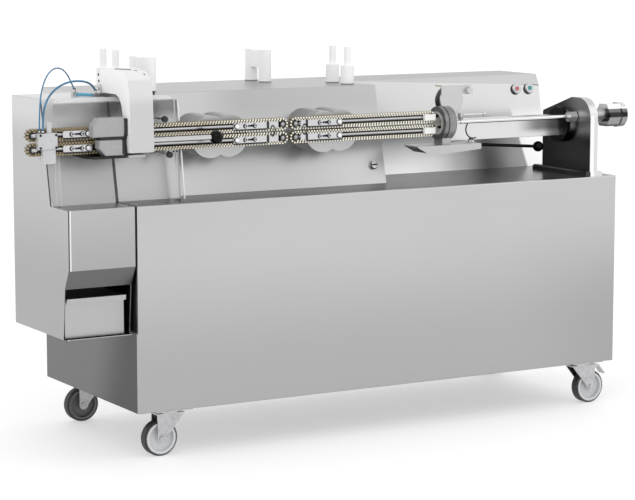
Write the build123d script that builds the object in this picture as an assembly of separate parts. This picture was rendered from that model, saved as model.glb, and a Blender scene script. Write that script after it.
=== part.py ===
from build123d import *
import math
import os

os.makedirs("parts", exist_ok=True)

# A linker on wheels: a sheet-metal cabinet with a stepped housing on its deck, two pairs of
# toothed-belt conveyors along the product line, and a brake head and inlet on the right.
# x runs right from the front panel's left edge, y back from the front panel, z up from the floor.

# Clearances
RUN_FIT = 0.05              # radial clearance of a shaft or rotor in its bore
SLIP = 0.3                  # clearance of pieces that slide or swing past each other

# Cabinet
LENGTH = 2000.0
DEPTH = 784.0
CASTER_HEIGHT = 165.0
DECK_TOP = 875.0
SHEET = 3.0
DECK_SHEET = 6.0
PAN_RETURN = 12.0           # folded edge of the front panel
PAN_BEND = 4.0
FRAME_TUBE = 40.0
FRAME_WALL = 3.0
FRAME_INSET = 20.0

# Housing on the deck: section A on the left, the longer section B, then the controls
ROOF = 1230.0
A_END = 235.0
B_END = LENGTH - 890.0
A_FOOT, A_BROW = 161.0, 219.0        # y of the sloped face at the deck and at the roof
B_FOOT, B_BROW = 211.0, 293.0
C_FOOT, C_BROW = 453.0, 518.0
HOUSING_SHEET = 3.0
CREASE_Z, CREASE_LEAN = ROOF - 41.0, 12.0  # the crease's height at the right end, and how far back it tips

# Extension box at the left end, which holds the catch drawer
EXT_WIDTH = 252.0
EXT_DEPTH = 463.0
EXT_BOTTOM = DECK_TOP - 439.0
EXT_FOOT, EXT_BROW = 146.0, 219.0
CHIN_BOTTOM = DECK_TOP - 202.0
LIP_Z, LIP_Y = CHIN_BOTTOM - 65.0, 34.0           # lower end of the slanted sheet under the chin
JAMB_Y = 50.0                        # front edge of the box at its floor
SEAM = 8.0                           # recessed joint between the box and the cabinet
SEAM_DEPTH = 10.0
EXT_SHEET = 3.0
SHELF_LIP = 22.0

# Drawer
DRAWER_LEFT_GAP = 3.0
DRAWER_RIGHT_GAP = 19.0
DRAWER_LENGTH = 360.0
DRAWER_HEIGHT = 136.0
DRAWER_SHEET = 2.0
DRAWER_LIP = 20.0
DRAWER_LIP_DROP = 17.0

# Casters
WHEEL_D = 125.0
WHEEL_W = 38.0
RIM_D = 104.0
HUB_D = 34.0
AXLE_D = 10.0
CASTER_TRAIL = 35.0
CASTER_X = (140.0, LENGTH - 107.0)
CASTER_Y = (65.0, DEPTH - 65.0)
TRAIL_SIGN = (-1.0, 1.0)             # the left wheels trail to the left, the right ones to the right
PLATE_W, PLATE_D, PLATE_T = 138.0, 110.0, 5.0
BEARING_D, BEARING_T = 76.0, 11.0
FORK_SHEET = 4.0
FORK_TOP_W = 104.0
FORK_GAP = 3.0                       # between the wheel's side and a fork leg
AXLE_HEAD = 4.0
PEDAL_W = 34.0
PEDAL_PIN = 8.0
PEDAL_EAR = 4.0

# Product line and conveyors
LINE_Y = 104.0
LINE_Z = DECK_TOP + 221.0
RAIL_RISE = 24.0                     # of a conveyor's middle above or below the product line
PULLEY_R = 12.0                      # to the back of the belt
BELT_BAND = 4.0
TOOTH_H = 4.0
TOOTH_PITCH = 16.0
BELT_W = 26.0
LEFT_PAIR = (-333.0, 609.0)          # pulley centres in x
RIGHT_PAIR = (661.0, LENGTH - 776.0)
RAIL_H = 18.0
RAIL_FRONT = LINE_Y - 10.0
RAIL_BACK = LINE_Y + 18.0
RAIL_CHAMFER = 5.0
CHEEK_T = 4.0
PIN_D = 8.0
CAP_D, CAP_T, CAP_WALL = 22.0, 3.0, 3.5
BLOCK_T = 6.0
BLOCK_H = 22.0
SLOT_W, SLOT_L = 8.0, 46.0
SCREW_HEAD_D, SCREW_HEAD_T, SCREW_D = 13.0, 5.0, 6.0
LEFT_BLOCKS = ((-226.0, -122.0), (414.0, 546.0))
RIGHT_BLOCKS = ((708.0, 848.0),)
CENTRE_PLATES = ((552.0, 590.0), (680.0, 704.0))
NOSE_LENGTH = 48.0
NOSE_T = 14.0
NOSE_CLEAR = LINE_Y - BELT_W / 2 - CAP_T - SLIP

# Supports between section B and the conveyors
LOBE_X = ((345.0, 425.0), (795.0, 873.0))
LOBE_Z = LINE_Z - 12.0
LOBE_R = 74.0
LOBE_FRONT = (128.0, 142.0)
TAIL_LENGTH = 150.0
TAIL_FRONT = 214.0
STUD_D = 20.0

# Block across the left ends of the conveyors
END_X = (-322.0, -254.0)
END_Y = (66.0, 88.0)
END_Z = (LINE_Z - 22.0, LINE_Z + 32.0)
END_FOOT_X = (-306.0, -260.0)
END_FOOT_BOTTOM = LINE_Z - 70.0
END_FOOT_BACK = 108.0
END_TAB_X = (-289.0, -273.0)
END_TAB_TOP = LINE_Z + 68.0

# Separator hood, its handle and its jaws
HOOD_X = (-10.0, 76.0)
HINGE_Y, HINGE_RISE = 262.0, 26.0
HINGE_Z = ROOF + HINGE_RISE
HOOD_RISE = 99.0
HOOD_TOP = ROOF + HOOD_RISE
HOOD_FRONT = 20.0
HOOD_BOTTOM = LINE_Z - 43.0
HOOD_ARCH = 13.0                     # underside of the hood above the roof
HOOD_HEEL_R = 23.0
HOOD_EDGE_R = 12.0
HOOD_CROWN = ((234.0, 6.0), (170.0, 0.0), (56.0, 8.0), (22.0, 34.0), (8.0, 82.0))
HOOD_LEG = ((0.0, 40.0), (0.0, 0.0), (27.0, 0.0), (42.0, 59.0), (74.0, 159.0))
HOOD_UNDERSIDE = ((92.0, 9.0), (116.0, 0.0))
HINGE_PIN_D = 12.0
EAR_T = 6.0
EAR_R = 15.0
HANDLE_Y, HANDLE_Z = 35.0, LINE_Z - 4.0
HANDLE_D = 18.0
HANDLE_BALL_X, HANDLE_BALL_D = 318.0, 48.0
UPPER_JAW = (-135.0, -22.0, LINE_Z + 12.0, LINE_Z + 76.0)
LOWER_JAW = (-113.0, -22.0)
LOWER_JAW_H = 54.0
JAW_Y = (44.0, 84.0)
JAW_TRAY_X = (-150.0, 66.0)
JAW_TRAY_Z = LINE_Z - 60.0
JAW_TRAY_T = 8.0
JAW_TRAY_FRONT = 42.0

# Splash guard and its thumb screws
GUARD_X = (-239.0, 221.0)
GUARD_FOOT_Y, GUARD_TOP_Y = 118.0, 150.0
GUARD_T = 5.0
GUARD_RETURN = 40.0
GUARD_TOP = ROOF + 4.0
GUARD_CORNER = 34.0
GUARD_FOOT_H = 6.0
THUMB_X = (150.0, 167.0)
THUMB_Z = (LINE_Z + 60.0, LINE_Z - 62.0)
THUMB_D, THUMB_SHAFT_D = 20.0, 8.0
THUMB_FRONT = 96.0
THUMB_GRIP = 14.0

# Horn rests on the roof
FORKED_AT = ((228.0, 368.0), (B_END - 278.0, 628.0))
PEGGED_AT = ((205.0, 596.0), (B_END - 70.0, 375.0))
REST_PITCH = 108.0
FORKED_D, FORKED_H, FORKED_GAP_H = 48.0, 121.0, 54.0
PEG_BASE_D, PEG_BASE_H, PEG_D, PEG_H = 50.0, 68.0, 26.0, 73.0
BRIDGE_T = 26.0

# Bracket and inlet at the right end
BRACKET_X = (LENGTH - 117.0, LENGTH - 82.0)
BRACKET_Y = (10.0, 315.0)
BRACKET_FOOT_X = (BRACKET_X[0] - 21.0, BRACKET_X[1] + 20.0)
BRACKET_FOOT_Y = (5.0, 350.0)
BRACKET_FOOT_T = 20.0
BRACKET_TOP = LINE_Z + 72.0
BRACKET_REAR_TOP = LINE_Z + 10.0
BRACKET_BROW_Y = 130.0
BRACKET_NOSE_R = 76.0
INLET_D, INLET_BORE, INLET_END = 52.0, 34.0, BRACKET_X[1] + 142.0
COLLAR_D, COLLAR_T = 76.0, 24.0
LINER_D, LINER_T = 66.0, 8.0
NUT_START, NUT_HEX_END, NUT_END = INLET_END - 48.0, INLET_END + 10.0, INLET_END + 34.0
NUT_FLATS, NUT_RIM_D, NUT_THREAD_D = 84.0, 95.0, 72.0

# Horn
HORN_D, HORN_BORE = 15.0, 11.0
HORN_TIP_D, HORN_TIP_START, HORN_TIP_END = 10.0, RIGHT_PAIR[1] + 138.0, RIGHT_PAIR[1] + 58.0
HORN_NUT_X = (BRACKET_X[0] - 35.0, BRACKET_X[0] - 3.0)
HORN_NUT_FLATS = 37.0
HORN_SHAFT_D = 30.0

# Brake head
RING_X = (RIGHT_PAIR[1] + 36.0, RIGHT_PAIR[1] + 84.0)
RING_D = 122.0
ROTOR_D, ROTOR_BORE = 88.0, 24.0
ARM_Y = (150.0, 222.0)
ARM_Z = (LINE_Z - 73.0, LINE_Z + 2.0)
ARM_START = RING_X[1] + 118.0
FLANGE_T = 26.0
FLANGE_CLEARANCE = 1.5               # between the flange and the corners of the horn's nut
HEAD_START = RING_X[1] + 26.0
SADDLE_Y = (60.0, 150.0)
SADDLE_TOP = LINE_Z - 78.0
SADDLE_LEFT = RING_X[0] - 110.0
SADDLE_T = 20.0
COVER_X, COVER_Z, COVER_R = RING_X[1] + 54.0, LINE_Z + 76.0, 50.0
COVER_Y = (163.0, 200.0)
COVER_POST = 30.0
LEVER_X, LEVER_Y = ARM_START + 26.0, 168.0
LEVER_PIN_D = 12.0
LEVER_HUB_D, LEVER_HUB_H = 30.0, 36.0
LEVER_ROD_D, LEVER_REACH, LEVER_BALL_D = 12.0, 305.0, 40.0
LEVER_DROP = 22.0
CLAMP_X, CLAMP_Y, CLAMP_BASE_H = ARM_START - 14.0, 178.0, 16.0
CLAMP_REACH, CLAMP_ROD_D, CLAMP_KNOB_D = 104.0, 10.0, 20.0
WING_X, WING_Z, WING_D = COVER_X + 68.0, COVER_Z + 34.0, 26.0

# Controls
BUTTON_X = (LENGTH - 111.0, LENGTH - 50.0)
BUTTON_Z = ROOF - 54.0
BEZEL_D, BEZEL_T = 40.0, 10.0
BUTTON_D, BUTTON_PROUD, BUTTON_LENGTH = 17.0, 2.0, 6.0
LATCH_X, LATCH_Z, LATCH_D, LATCH_T = B_END - 46.0, DECK_TOP + 67.0, 32.0, 9.0

# Air hoses from the end block, over the roof's edge, to the manifold beside the hood
HOSE_D = (7.0, 5.0)
FITTING_D, FITTING_H = 10.0, 10.0
BLOCK_PORTS = ((-304.0, 74.0), (-312.0, 84.5))
MANIFOLD_X, MANIFOLD_Y, MANIFOLD_H = (-48.0, -22.0), (224.0, 254.0), 12.0
MANIFOLD_PORT = (-42.0, 231.0)
ELBOW_X, ELBOW_Y, ELBOW_H = (-97.0, -79.0), (293.0, 311.0), 14.0
ELBOW_PORT = (-88.0, 302.0)
LINK_D = 10.0
# Points between a hose's ends: x, y and height above the roof
HOSE_1_BENDS = (
    (-297.0, 88.0, -50.0),
    (-282.0, 108.0, -13.0),
    (-250.0, 132.0, 24.0),
    (-203.0, 152.0, 51.0),
    (-150.0, 172.0, 61.0),
    (-98.0, 192.0, 57.0),
    (-60.0, 213.0, 42.0),
)
HOSE_2_BENDS = (
    (-304.0, 100.0, -40.0),
    (-292.0, 118.0, 15.0),
    (-268.0, 146.0, 60.0),
    (-236.0, 176.0, 92.0),
    (-196.0, 206.0, 106.0),
    (-158.0, 232.0, 96.0),
    (-130.0, 256.0, 72.0),
    (-106.0, 284.0, 44.0),
)

MIDDLE_X = (LEFT_PAIR[0] - PULLEY_R - BELT_BAND - TOOTH_H + NUT_END) / 2
MIDDLE_Y = DEPTH / 2
TO_ORIGIN = Location((-MIDDLE_X, -MIDDLE_Y, 0))


def save(node, *pieces):
    """Write one sub-part, with the middle of the machine's footprint moved to the origin."""
    solids = [solid for piece in pieces for solid in piece.solids()]
    export_step(Compound(solids).moved(TO_ORIGIN), f"parts/{node}.step")


def block(x0, x1, y0, y1, z0, z1):
    """A box between two corners."""
    return Pos((x0 + x1) / 2, (y0 + y1) / 2, (z0 + z1) / 2) * Box(x1 - x0, y1 - y0, z1 - z0)


def prism_x(outline, x0, x1):
    """A (y, z) outline, or a sketch on that plane, run from x0 to x1."""
    face = outline if isinstance(outline, Sketch) else make_face(Polyline(*outline, close=True))
    return extrude(Plane.YZ.offset(x0) * face, amount=x1 - x0)


def prism_y(outline, y0, y1):
    """An (x, z) outline, or a sketch on that plane, run from y0 to y1."""
    face = outline if isinstance(outline, Sketch) else make_face(Polyline(*outline, close=True))
    return extrude(Plane.XZ.offset(-y1) * face, amount=y1 - y0)


def prism_z(outline, z0, z1):
    """An (x, y) outline, or a sketch on that plane, run from z0 to z1."""
    face = outline if isinstance(outline, Sketch) else make_face(Polyline(*outline, close=True))
    return extrude(Plane.XY.offset(z0) * face, amount=z1 - z0)


def rod_x(x0, x1, y, z, diameter):
    return prism_x(Pos(y, z) * Circle(diameter / 2), x0, x1)


def rod_y(x, z, y0, y1, diameter):
    return prism_y(Pos(x, z) * Circle(diameter / 2), y0, y1)


def rod_z(x, y, z0, z1, diameter):
    return prism_z(Pos(x, y) * Circle(diameter / 2), z0, z1)


def lean(foot, brow, z):
    """The y of a sloped face that starts at foot on the deck and reaches brow at the roof."""
    return foot + (brow - foot) * (z - DECK_TOP) / (ROOF - DECK_TOP)


# Cabinet
def front_panel():
    """A shallow folded pan: the face, with a return on all four sides."""
    pan = block(0, LENGTH, 0, PAN_RETURN, CASTER_HEIGHT, DECK_TOP)
    pan = fillet(pan.faces().sort_by(Axis.Y)[0].edges(), PAN_BEND)
    return pan - block(
        SHEET, LENGTH - SHEET, SHEET, PAN_RETURN, CASTER_HEIGHT + SHEET, DECK_TOP - SHEET
    )


def cabinet_panels():
    """Two sides, the back and the floor of the cabinet."""
    top = DECK_TOP - DECK_SHEET
    sides = [
        block(x, x + SHEET, PAN_RETURN, DEPTH - SHEET, CASTER_HEIGHT, top)
        for x in (0, LENGTH - SHEET)
    ]
    back = block(0, LENGTH, DEPTH - SHEET, DEPTH, CASTER_HEIGHT, top)
    floor = block(
        SHEET, LENGTH - SHEET, PAN_RETURN, DEPTH - SHEET, CASTER_HEIGHT, CASTER_HEIGHT + SHEET
    )
    return [*sides, back, floor]


def frame_tube(x0, x1, y0, y1, z0, z1):
    """A square tube with open ends, lying along its longest side."""
    spans = [x1 - x0, y1 - y0, z1 - z0]
    wall = [0 if span == max(spans) else FRAME_WALL for span in spans]
    bore = block(
        x0 + wall[0], x1 - wall[0], y0 + wall[1], y1 - wall[1], z0 + wall[2], z1 - wall[2]
    )
    return block(x0, x1, y0, y1, z0, z1) - bore


def base_frame():
    """Rails along the floor and under the deck, cross tubes over the casters, and posts."""
    low = CASTER_HEIGHT + SHEET
    high = DECK_TOP - DECK_SHEET - FRAME_TUBE
    front, back = PAN_RETURN + FRAME_INSET, DEPTH - SHEET - FRAME_INSET - FRAME_TUBE
    left, right = SHEET + FRAME_INSET, LENGTH - SHEET - FRAME_INSET
    tubes = [
        frame_tube(left, right, y, y + FRAME_TUBE, z, z + FRAME_TUBE)
        for y in (front, back)
        for z in (low, high)
    ]
    tubes += [
        frame_tube(x - FRAME_TUBE / 2, x + FRAME_TUBE / 2, front + FRAME_TUBE, back, low, low + FRAME_TUBE)
        for x in CASTER_X
    ]
    tubes += [
        frame_tube(x, x + FRAME_TUBE, y, y + FRAME_TUBE, low + FRAME_TUBE, high)
        for x in (left, right - FRAME_TUBE)
        for y in (front, back)
    ]
    return tubes


# Housing
def housing_outline(foot, brow, inset):
    """Outline of a housing section, drawn in by a sheet's thickness where inset is not zero."""
    across = inset * math.hypot(1, (brow - foot) / (ROOF - DECK_TOP))
    top = ROOF - inset
    return [
        (foot + across, DECK_TOP),
        (lean(foot, brow, top) + across, top),
        (DEPTH - inset, top),
        (DEPTH - inset, DECK_TOP),
    ]


def housing_block(foot, brow, x0, x1):
    return prism_x(housing_outline(foot, brow, 0), x0, x1)


def housing_core(foot, brow, x0, x1):
    return prism_x(housing_outline(foot, brow, HOUSING_SHEET), x0, x1)


def main_housing():
    """Sections A and B as one folded cover, open towards the deck."""
    t = HOUSING_SHEET
    cover = housing_block(A_FOOT, A_BROW, 0, A_END) + housing_block(B_FOOT, B_BROW, A_END, B_END)
    cover -= housing_core(A_FOOT, A_BROW, t, A_END - t)
    return cover - housing_core(B_FOOT, B_BROW, A_END - t, B_END - t)


def crease_plane(inset):
    """The plane of the facet that leans back above the crease, facing outwards."""
    low = Vector(LENGTH, lean(C_FOOT, C_BROW, CREASE_Z), CREASE_Z)
    high = Vector(LENGTH, C_BROW + CREASE_LEAN, ROOF)
    out = (high - low).cross(Vector(B_END, C_BROW, ROOF) - low).normalized()
    out = out if out.Y < 0 else out * -1
    return Plane(low - out * inset, z_dir=out)


def control_housing():
    """The shallower section behind the brake head, creased near its top, open towards the deck."""
    t = HOUSING_SHEET
    cover = split(housing_block(C_FOOT, C_BROW, B_END, LENGTH), crease_plane(0), keep=Keep.BOTTOM)
    core = housing_core(C_FOOT, C_BROW, B_END + t, LENGTH - t)
    return cover - split(core, crease_plane(t), keep=Keep.BOTTOM)


def extension_outline(inset):
    """Side view of the extension box, from the floor's front edge round to the back."""
    brow = lean(EXT_FOOT, EXT_BROW, ROOF - inset)
    slope = inset * math.hypot(1, (EXT_BROW - EXT_FOOT) / (ROOF - DECK_TOP))
    return [
        (JAMB_Y + inset, EXT_BOTTOM + inset),
        (LIP_Y + inset, LIP_Z + inset / 2),
        (inset, CHIN_BOTTOM + inset / 2),
        (inset, DECK_TOP - inset),
        (EXT_FOOT + slope, DECK_TOP - inset),
        (brow + slope, ROOF - inset),
        (EXT_DEPTH - inset, ROOF - inset),
        (EXT_DEPTH - inset, EXT_BOTTOM + inset),
    ]


def extension_shell():
    """A welded box with an open mouth for the drawer, set off from the cabinet by a joint."""
    t = EXT_SHEET
    box = prism_x(extension_outline(0), -EXT_WIDTH, -SEAM)
    box += prism_x(extension_outline(SEAM_DEPTH), -SEAM, 0)
    box -= prism_x(extension_outline(t), t - EXT_WIDTH, -SEAM - t)
    mouth = block(t - EXT_WIDTH, -SEAM - t, 0, JAMB_Y + 2 * t, EXT_BOTTOM + t, LIP_Z)
    lip = block(t - EXT_WIDTH, -SEAM - t, JAMB_Y - SHELF_LIP, JAMB_Y + t, EXT_BOTTOM, EXT_BOTTOM + t)
    return box - mouth + lip


def drawer():
    """An open tray with a folded lip along the top of its front."""
    x0, x1 = -EXT_WIDTH + EXT_SHEET + DRAWER_LEFT_GAP, -SEAM - EXT_SHEET - DRAWER_RIGHT_GAP
    y0 = JAMB_Y
    z0 = EXT_BOTTOM + EXT_SHEET + SLIP
    top = z0 + DRAWER_HEIGHT
    t = DRAWER_SHEET
    tray = block(x0, x1, y0, y0 + DRAWER_LENGTH, z0, top)
    tray -= block(x0 + t, x1 - t, y0 + t, y0 + DRAWER_LENGTH - t, z0 + t, top)
    lip = [
        (y0 + t, top),
        (y0 - DRAWER_LIP, top),
        (y0 - DRAWER_LIP + t, top - DRAWER_LIP_DROP),
        (y0 - DRAWER_LIP + 2 * t, top - DRAWER_LIP_DROP),
        (y0 - DRAWER_LIP + 2 * t, top - t),
        (y0 + t, top - t),
    ]
    return tray + prism_x(lip, x0, x1)


# Casters
def caster_plates():
    top = CASTER_HEIGHT
    return [
        block(x - PLATE_W / 2, x + PLATE_W / 2, y - PLATE_D / 2, y + PLATE_D / 2, top - PLATE_T, top)
        for x in CASTER_X
        for y in CASTER_Y
    ]


def fork_leg(x, axle_x, y0, y1):
    """One leg: broad under the crown and narrowing to a round end at the axle."""
    crown = CASTER_HEIGHT - PLATE_T - SLIP - BEARING_T
    axle_z = WHEEL_D / 2
    end_r = HUB_D / 2
    outline = [
        (x - FORK_TOP_W / 2, crown),
        (x + FORK_TOP_W / 2, crown),
        (axle_x + end_r, axle_z),
        (axle_x - end_r, axle_z),
    ]
    return prism_y(outline, y0, y1) + rod_y(axle_x, axle_z, y0, y1, HUB_D)


def fork(x, y, sign):
    """A swivelling fork with its bearing, two legs and the axle with its heads."""
    crown = CASTER_HEIGHT - PLATE_T - SLIP - BEARING_T
    axle_x = x + sign * CASTER_TRAIL
    half = WHEEL_W / 2 + FORK_GAP
    leg = half + FORK_SHEET
    body = rod_z(x, y, crown, crown + BEARING_T, BEARING_D)
    body += block(
        x - FORK_TOP_W / 2, x + FORK_TOP_W / 2, y - leg, y + leg, crown - FORK_SHEET, crown
    )
    body += fork_leg(x, axle_x, y - leg, y - half)
    body += fork_leg(x, axle_x, y + half, y + leg)
    head = leg + AXLE_HEAD
    body += rod_y(axle_x, WHEEL_D / 2, y - head, y + head, AXLE_D)
    for y0 in (y - head, y + leg):
        body += rod_y(axle_x, WHEEL_D / 2, y0, y0 + AXLE_HEAD, 2 * AXLE_D)
    return body


def wheel(x, y):
    """A dished disc with a hub, and the tyre on its rim."""
    z = WHEEL_D / 2
    bore_r = AXLE_D / 2 + RUN_FIT
    half = WHEEL_W / 2
    web = 5.0
    disc = make_face(
        Polyline(
            (bore_r, -half - FORK_GAP + SLIP),
            (HUB_D / 2, -half - FORK_GAP + SLIP),
            (HUB_D / 2, -web),
            (RIM_D / 2 - web, -web),
            (RIM_D / 2 - web, -half),
            (RIM_D / 2, -half),
            (RIM_D / 2, half),
            (RIM_D / 2 - web, half),
            (RIM_D / 2 - web, web),
            (HUB_D / 2, web),
            (HUB_D / 2, half + FORK_GAP - SLIP),
            (bore_r, half + FORK_GAP - SLIP),
            close=True,
        )
    )
    edge = 5.0
    tyre = make_face(
        Polyline(
            (RIM_D / 2, -half),
            (WHEEL_D / 2 - edge, -half),
            (WHEEL_D / 2, -half + edge),
            (WHEEL_D / 2, half - edge),
            (WHEEL_D / 2 - edge, half),
            (RIM_D / 2, half),
            close=True,
        )
    )
    return [Pos(x, y, z) * revolve(face, Axis.Y) for face in (disc, tyre)]


def pedal_place(x):
    """The pin's x and z for the pedal of the fork at x."""
    crown = CASTER_HEIGHT - PLATE_T - SLIP - BEARING_T
    return x + FORK_TOP_W / 2 + PEDAL_PIN, crown - PEDAL_PIN


def pedal_pin(x, y):
    """The pin and its two ears on the fork's crown."""
    pin_x, pin_z = pedal_place(x)
    half = PEDAL_W / 2 + SLIP
    pieces = rod_y(pin_x, pin_z, y - half - PEDAL_EAR, y + half + PEDAL_EAR, PEDAL_PIN)
    for y0 in (y - half - PEDAL_EAR, y + half):
        pieces += rod_y(pin_x, pin_z, y0, y0 + PEDAL_EAR, 2 * PEDAL_PIN)
        pieces += block(
            x + FORK_TOP_W / 2 - 6, pin_x, y0, y0 + PEDAL_EAR, pin_z, pin_z + PEDAL_PIN
        )
    return pieces


def brake_pedal(x, y):
    """The bent foot pedal behind the front right wheel, on a pin at the fork's crown."""
    pin_x, pin_z = pedal_place(x)
    half = PEDAL_W / 2
    outline = [
        (pin_x, pin_z + PEDAL_PIN - 1),
        (pin_x + 16, pin_z + PEDAL_PIN - 3),
        (pin_x + 46, pin_z - 32),
        (pin_x + 43, pin_z - 35),
        (pin_x + 14, pin_z - 1),
        (pin_x, pin_z - 1),
    ]
    pedal = prism_y(outline, y - half, y + half)
    pedal += rod_y(pin_x, pin_z, y - half, y + half, 2 * PEDAL_PIN - 2)
    return pedal - rod_y(pin_x, pin_z, y - half, y + half, PEDAL_PIN + 2 * RUN_FIT)


# Conveyors
def track_point(span, radius, along):
    """A point on a loop round two centres a span apart, at a distance along its pitch line."""
    arc = math.pi * (PULLEY_R + BELT_BAND)
    along %= 2 * (span + arc)
    if along < span:
        return (along, radius)
    if along < span + arc:
        turn = math.pi / 2 - (along - span) / (PULLEY_R + BELT_BAND)
        return (span + radius * math.cos(turn), radius * math.sin(turn))
    if along < 2 * span + arc:
        return (2 * span + arc - along, -radius)
    turn = -math.pi / 2 - (along - 2 * span - arc) / (PULLEY_R + BELT_BAND)
    return (radius * math.cos(turn), radius * math.sin(turn))


def belt(x0, x1, z):
    """A closed belt round two pulleys, with gripping teeth on its outer side."""
    root = PULLEY_R + BELT_BAND
    span = x1 - x0
    total = 2 * (span + math.pi * root)
    count = round(total / TOOTH_PITCH)
    pitch = total / count
    outline = []
    for i in range(count):
        for share, radius in ((0.0, root), (0.15, root + TOOTH_H), (0.45, root + TOOTH_H), (0.6, root)):
            outline.append(track_point(span, radius, (i + share) * pitch))
    loop = make_face(Polyline(*outline, close=True))
    opening = Pos(span / 2, 0) * SlotCenterToCenter(span, 2 * PULLEY_R)
    half = BELT_W / 2
    return Pos(x0, 0, z) * prism_y(loop - opening, LINE_Y - half, LINE_Y + half)


def conveyor_rail(x0, x1, z):
    """A chamfered bar inside a belt, with a cheek and an axle pin at each end."""
    gap = PULLEY_R + SHEET
    half = RAIL_H / 2
    bar = block(x0 + gap, x1 - gap, RAIL_FRONT, RAIL_BACK, z - half, z + half)
    bar = chamfer(bar.edges().filter_by(Axis.X).group_by(Axis.Y)[0], RAIL_CHAMFER)
    cheek_y = RAIL_BACK - CHEEK_T
    for x, inner in ((x0, x0 + gap), (x1, x1 - gap)):
        bar += block(min(x, inner), max(x, inner), cheek_y, RAIL_BACK, z - half, z + half)
        bar += rod_y(x, z, cheek_y, RAIL_BACK, RAIL_H)
        bar += rod_y(x, z, LINE_Y - BELT_W / 2 - CAP_T, cheek_y, PIN_D)
    return bar


def pulley(x, z):
    """A plain pulley under the belt, with a cap ring at its front."""
    front = LINE_Y - BELT_W / 2
    body = rod_y(x, z, front, RAIL_BACK - CHEEK_T - SLIP, 2 * (PULLEY_R - SLIP))
    body += rod_y(x, z, front - CAP_T, front, CAP_D)
    body -= rod_y(x, z, front - CAP_T, front - CAP_T / 2, CAP_D - 2 * CAP_WALL)
    return body - rod_y(x, z, front - CAP_T, RAIL_BACK, PIN_D + 2 * RUN_FIT)


def tension_block(x0, x1, z):
    """A slotted plate on the front of a rail, with its two clamping screws."""
    y1 = RAIL_FRONT
    y0 = y1 - BLOCK_T
    half = BLOCK_H / 2
    plate = block(x0, x1, y0, y1, z - half, z + half)
    plate = chamfer(plate.edges().filter_by(Axis.Y), 3)
    slot_x = (x0 + x1) / 2
    slot = Pos(slot_x, z) * SlotOverall(SLOT_L, SLOT_W)
    plate -= prism_y(slot, y0, y1)
    reach = (SLOT_L - SLOT_W) / 2
    screws = [
        rod_y(x, z, y0 - SCREW_HEAD_T, y0, SCREW_HEAD_D) + rod_y(x, z, y0, y1, SCREW_D)
        for x in (slot_x - reach, slot_x + reach)
    ]
    return [plate, *screws]


def centre_plate(x0, x1, z):
    half = BLOCK_H / 2
    return block(x0, x1, RAIL_FRONT - BLOCK_T, RAIL_FRONT, z - half, z + half)


def nose_block(z):
    """A plastic guide at the front of a conveyor's right end."""
    x1 = RIGHT_PAIR[1] + CAP_D / 2 + 6
    half = BLOCK_H / 2
    nose = block(x1 - NOSE_LENGTH, x1, RAIL_FRONT - NOSE_T, RAIL_FRONT, z - half, z + half)
    nose -= block(
        RIGHT_PAIR[1] - CAP_D / 2 - 2, x1, NOSE_CLEAR, RAIL_FRONT, z - half, z + half
    )
    return chamfer(nose.edges().filter_by(Axis.Z).group_by(Axis.Y)[0], 3)


def support_bosses():
    """Two cast fairings with round lobes, and the studs that carry the conveyor rails."""
    housing = housing_block(B_FOOT, B_BROW, A_END, B_END)
    pieces = []
    for left, right in LOBE_X:
        boss = rod_y(left, LOBE_Z, LOBE_FRONT[0], B_BROW, 2 * LOBE_R)
        boss += rod_y(right, LOBE_Z, LOBE_FRONT[1], B_BROW, 2 * LOBE_R)
        tail = [
            (left - TAIL_LENGTH / 2, LOBE_Z),
            (left, LOBE_Z + LOBE_R * 0.9),
            (right, LOBE_Z + LOBE_R * 0.9),
            (right + TAIL_LENGTH, LOBE_Z - LOBE_R * 0.3),
            (right, LOBE_Z - LOBE_R * 0.9),
            (left, LOBE_Z - LOBE_R * 0.9),
        ]
        boss += prism_y(tail, TAIL_FRONT, B_BROW)
        for z in (LINE_Z - RAIL_RISE, LINE_Z + RAIL_RISE):
            boss += rod_y(left, z, RAIL_BACK, LOBE_FRONT[0], STUD_D)
            boss += rod_y(right, z, RAIL_BACK, LOBE_FRONT[1], STUD_D)
        pieces.append(boss - housing)
    return pieces


# Left end block
def end_block():
    """A plastic block in front of the conveyor ends, its foot, its posts and a small tab."""
    body = block(*END_X, *END_Y, *END_Z)
    body = fillet(body.faces().sort_by(Axis.Y)[0].edges(), 4)
    foot = block(*END_FOOT_X, END_Y[0] + 6, END_FOOT_BACK, END_FOOT_BOTTOM, END_Z[0])
    foot -= block(*END_FOOT_X, END_Y[1], END_FOOT_BACK, END_FOOT_BOTTOM + 18, END_Z[0])
    body += foot
    for z in (LINE_Z - RAIL_RISE, LINE_Z + RAIL_RISE):
        body += rod_y(sum(END_X) / 2, z, END_Y[1], RAIL_FRONT, RAIL_H - 2)
    tab = block(*END_TAB_X, END_Y[0] + 8, END_Y[0] + 16, END_Z[1], END_TAB_TOP)
    return [body, tab]


# Hood
def hood_outline():
    """Side view of the hood: heel over the roof, arch, and the leg in front of the belts."""
    heel = [
        (HINGE_Y, HINGE_Z - HOOD_HEEL_R),
        (HINGE_Y + HOOD_HEEL_R, HINGE_Z),
        (HINGE_Y + HOOD_HEEL_R, HINGE_Z + 1.6 * HOOD_HEEL_R),
    ]
    crown = [(HOOD_FRONT + y, HOOD_TOP - drop) for y, drop in HOOD_CROWN]
    leg = [(HOOD_FRONT + y, HOOD_BOTTOM + z) for y, z in HOOD_LEG]
    arch = [(HOOD_FRONT + y, ROOF + HOOD_ARCH - drop) for y, drop in HOOD_UNDERSIDE]
    return [*heel, *crown, *leg, *arch, (HINGE_Y - HOOD_HEEL_R, ROOF + HOOD_ARCH)]


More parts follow.
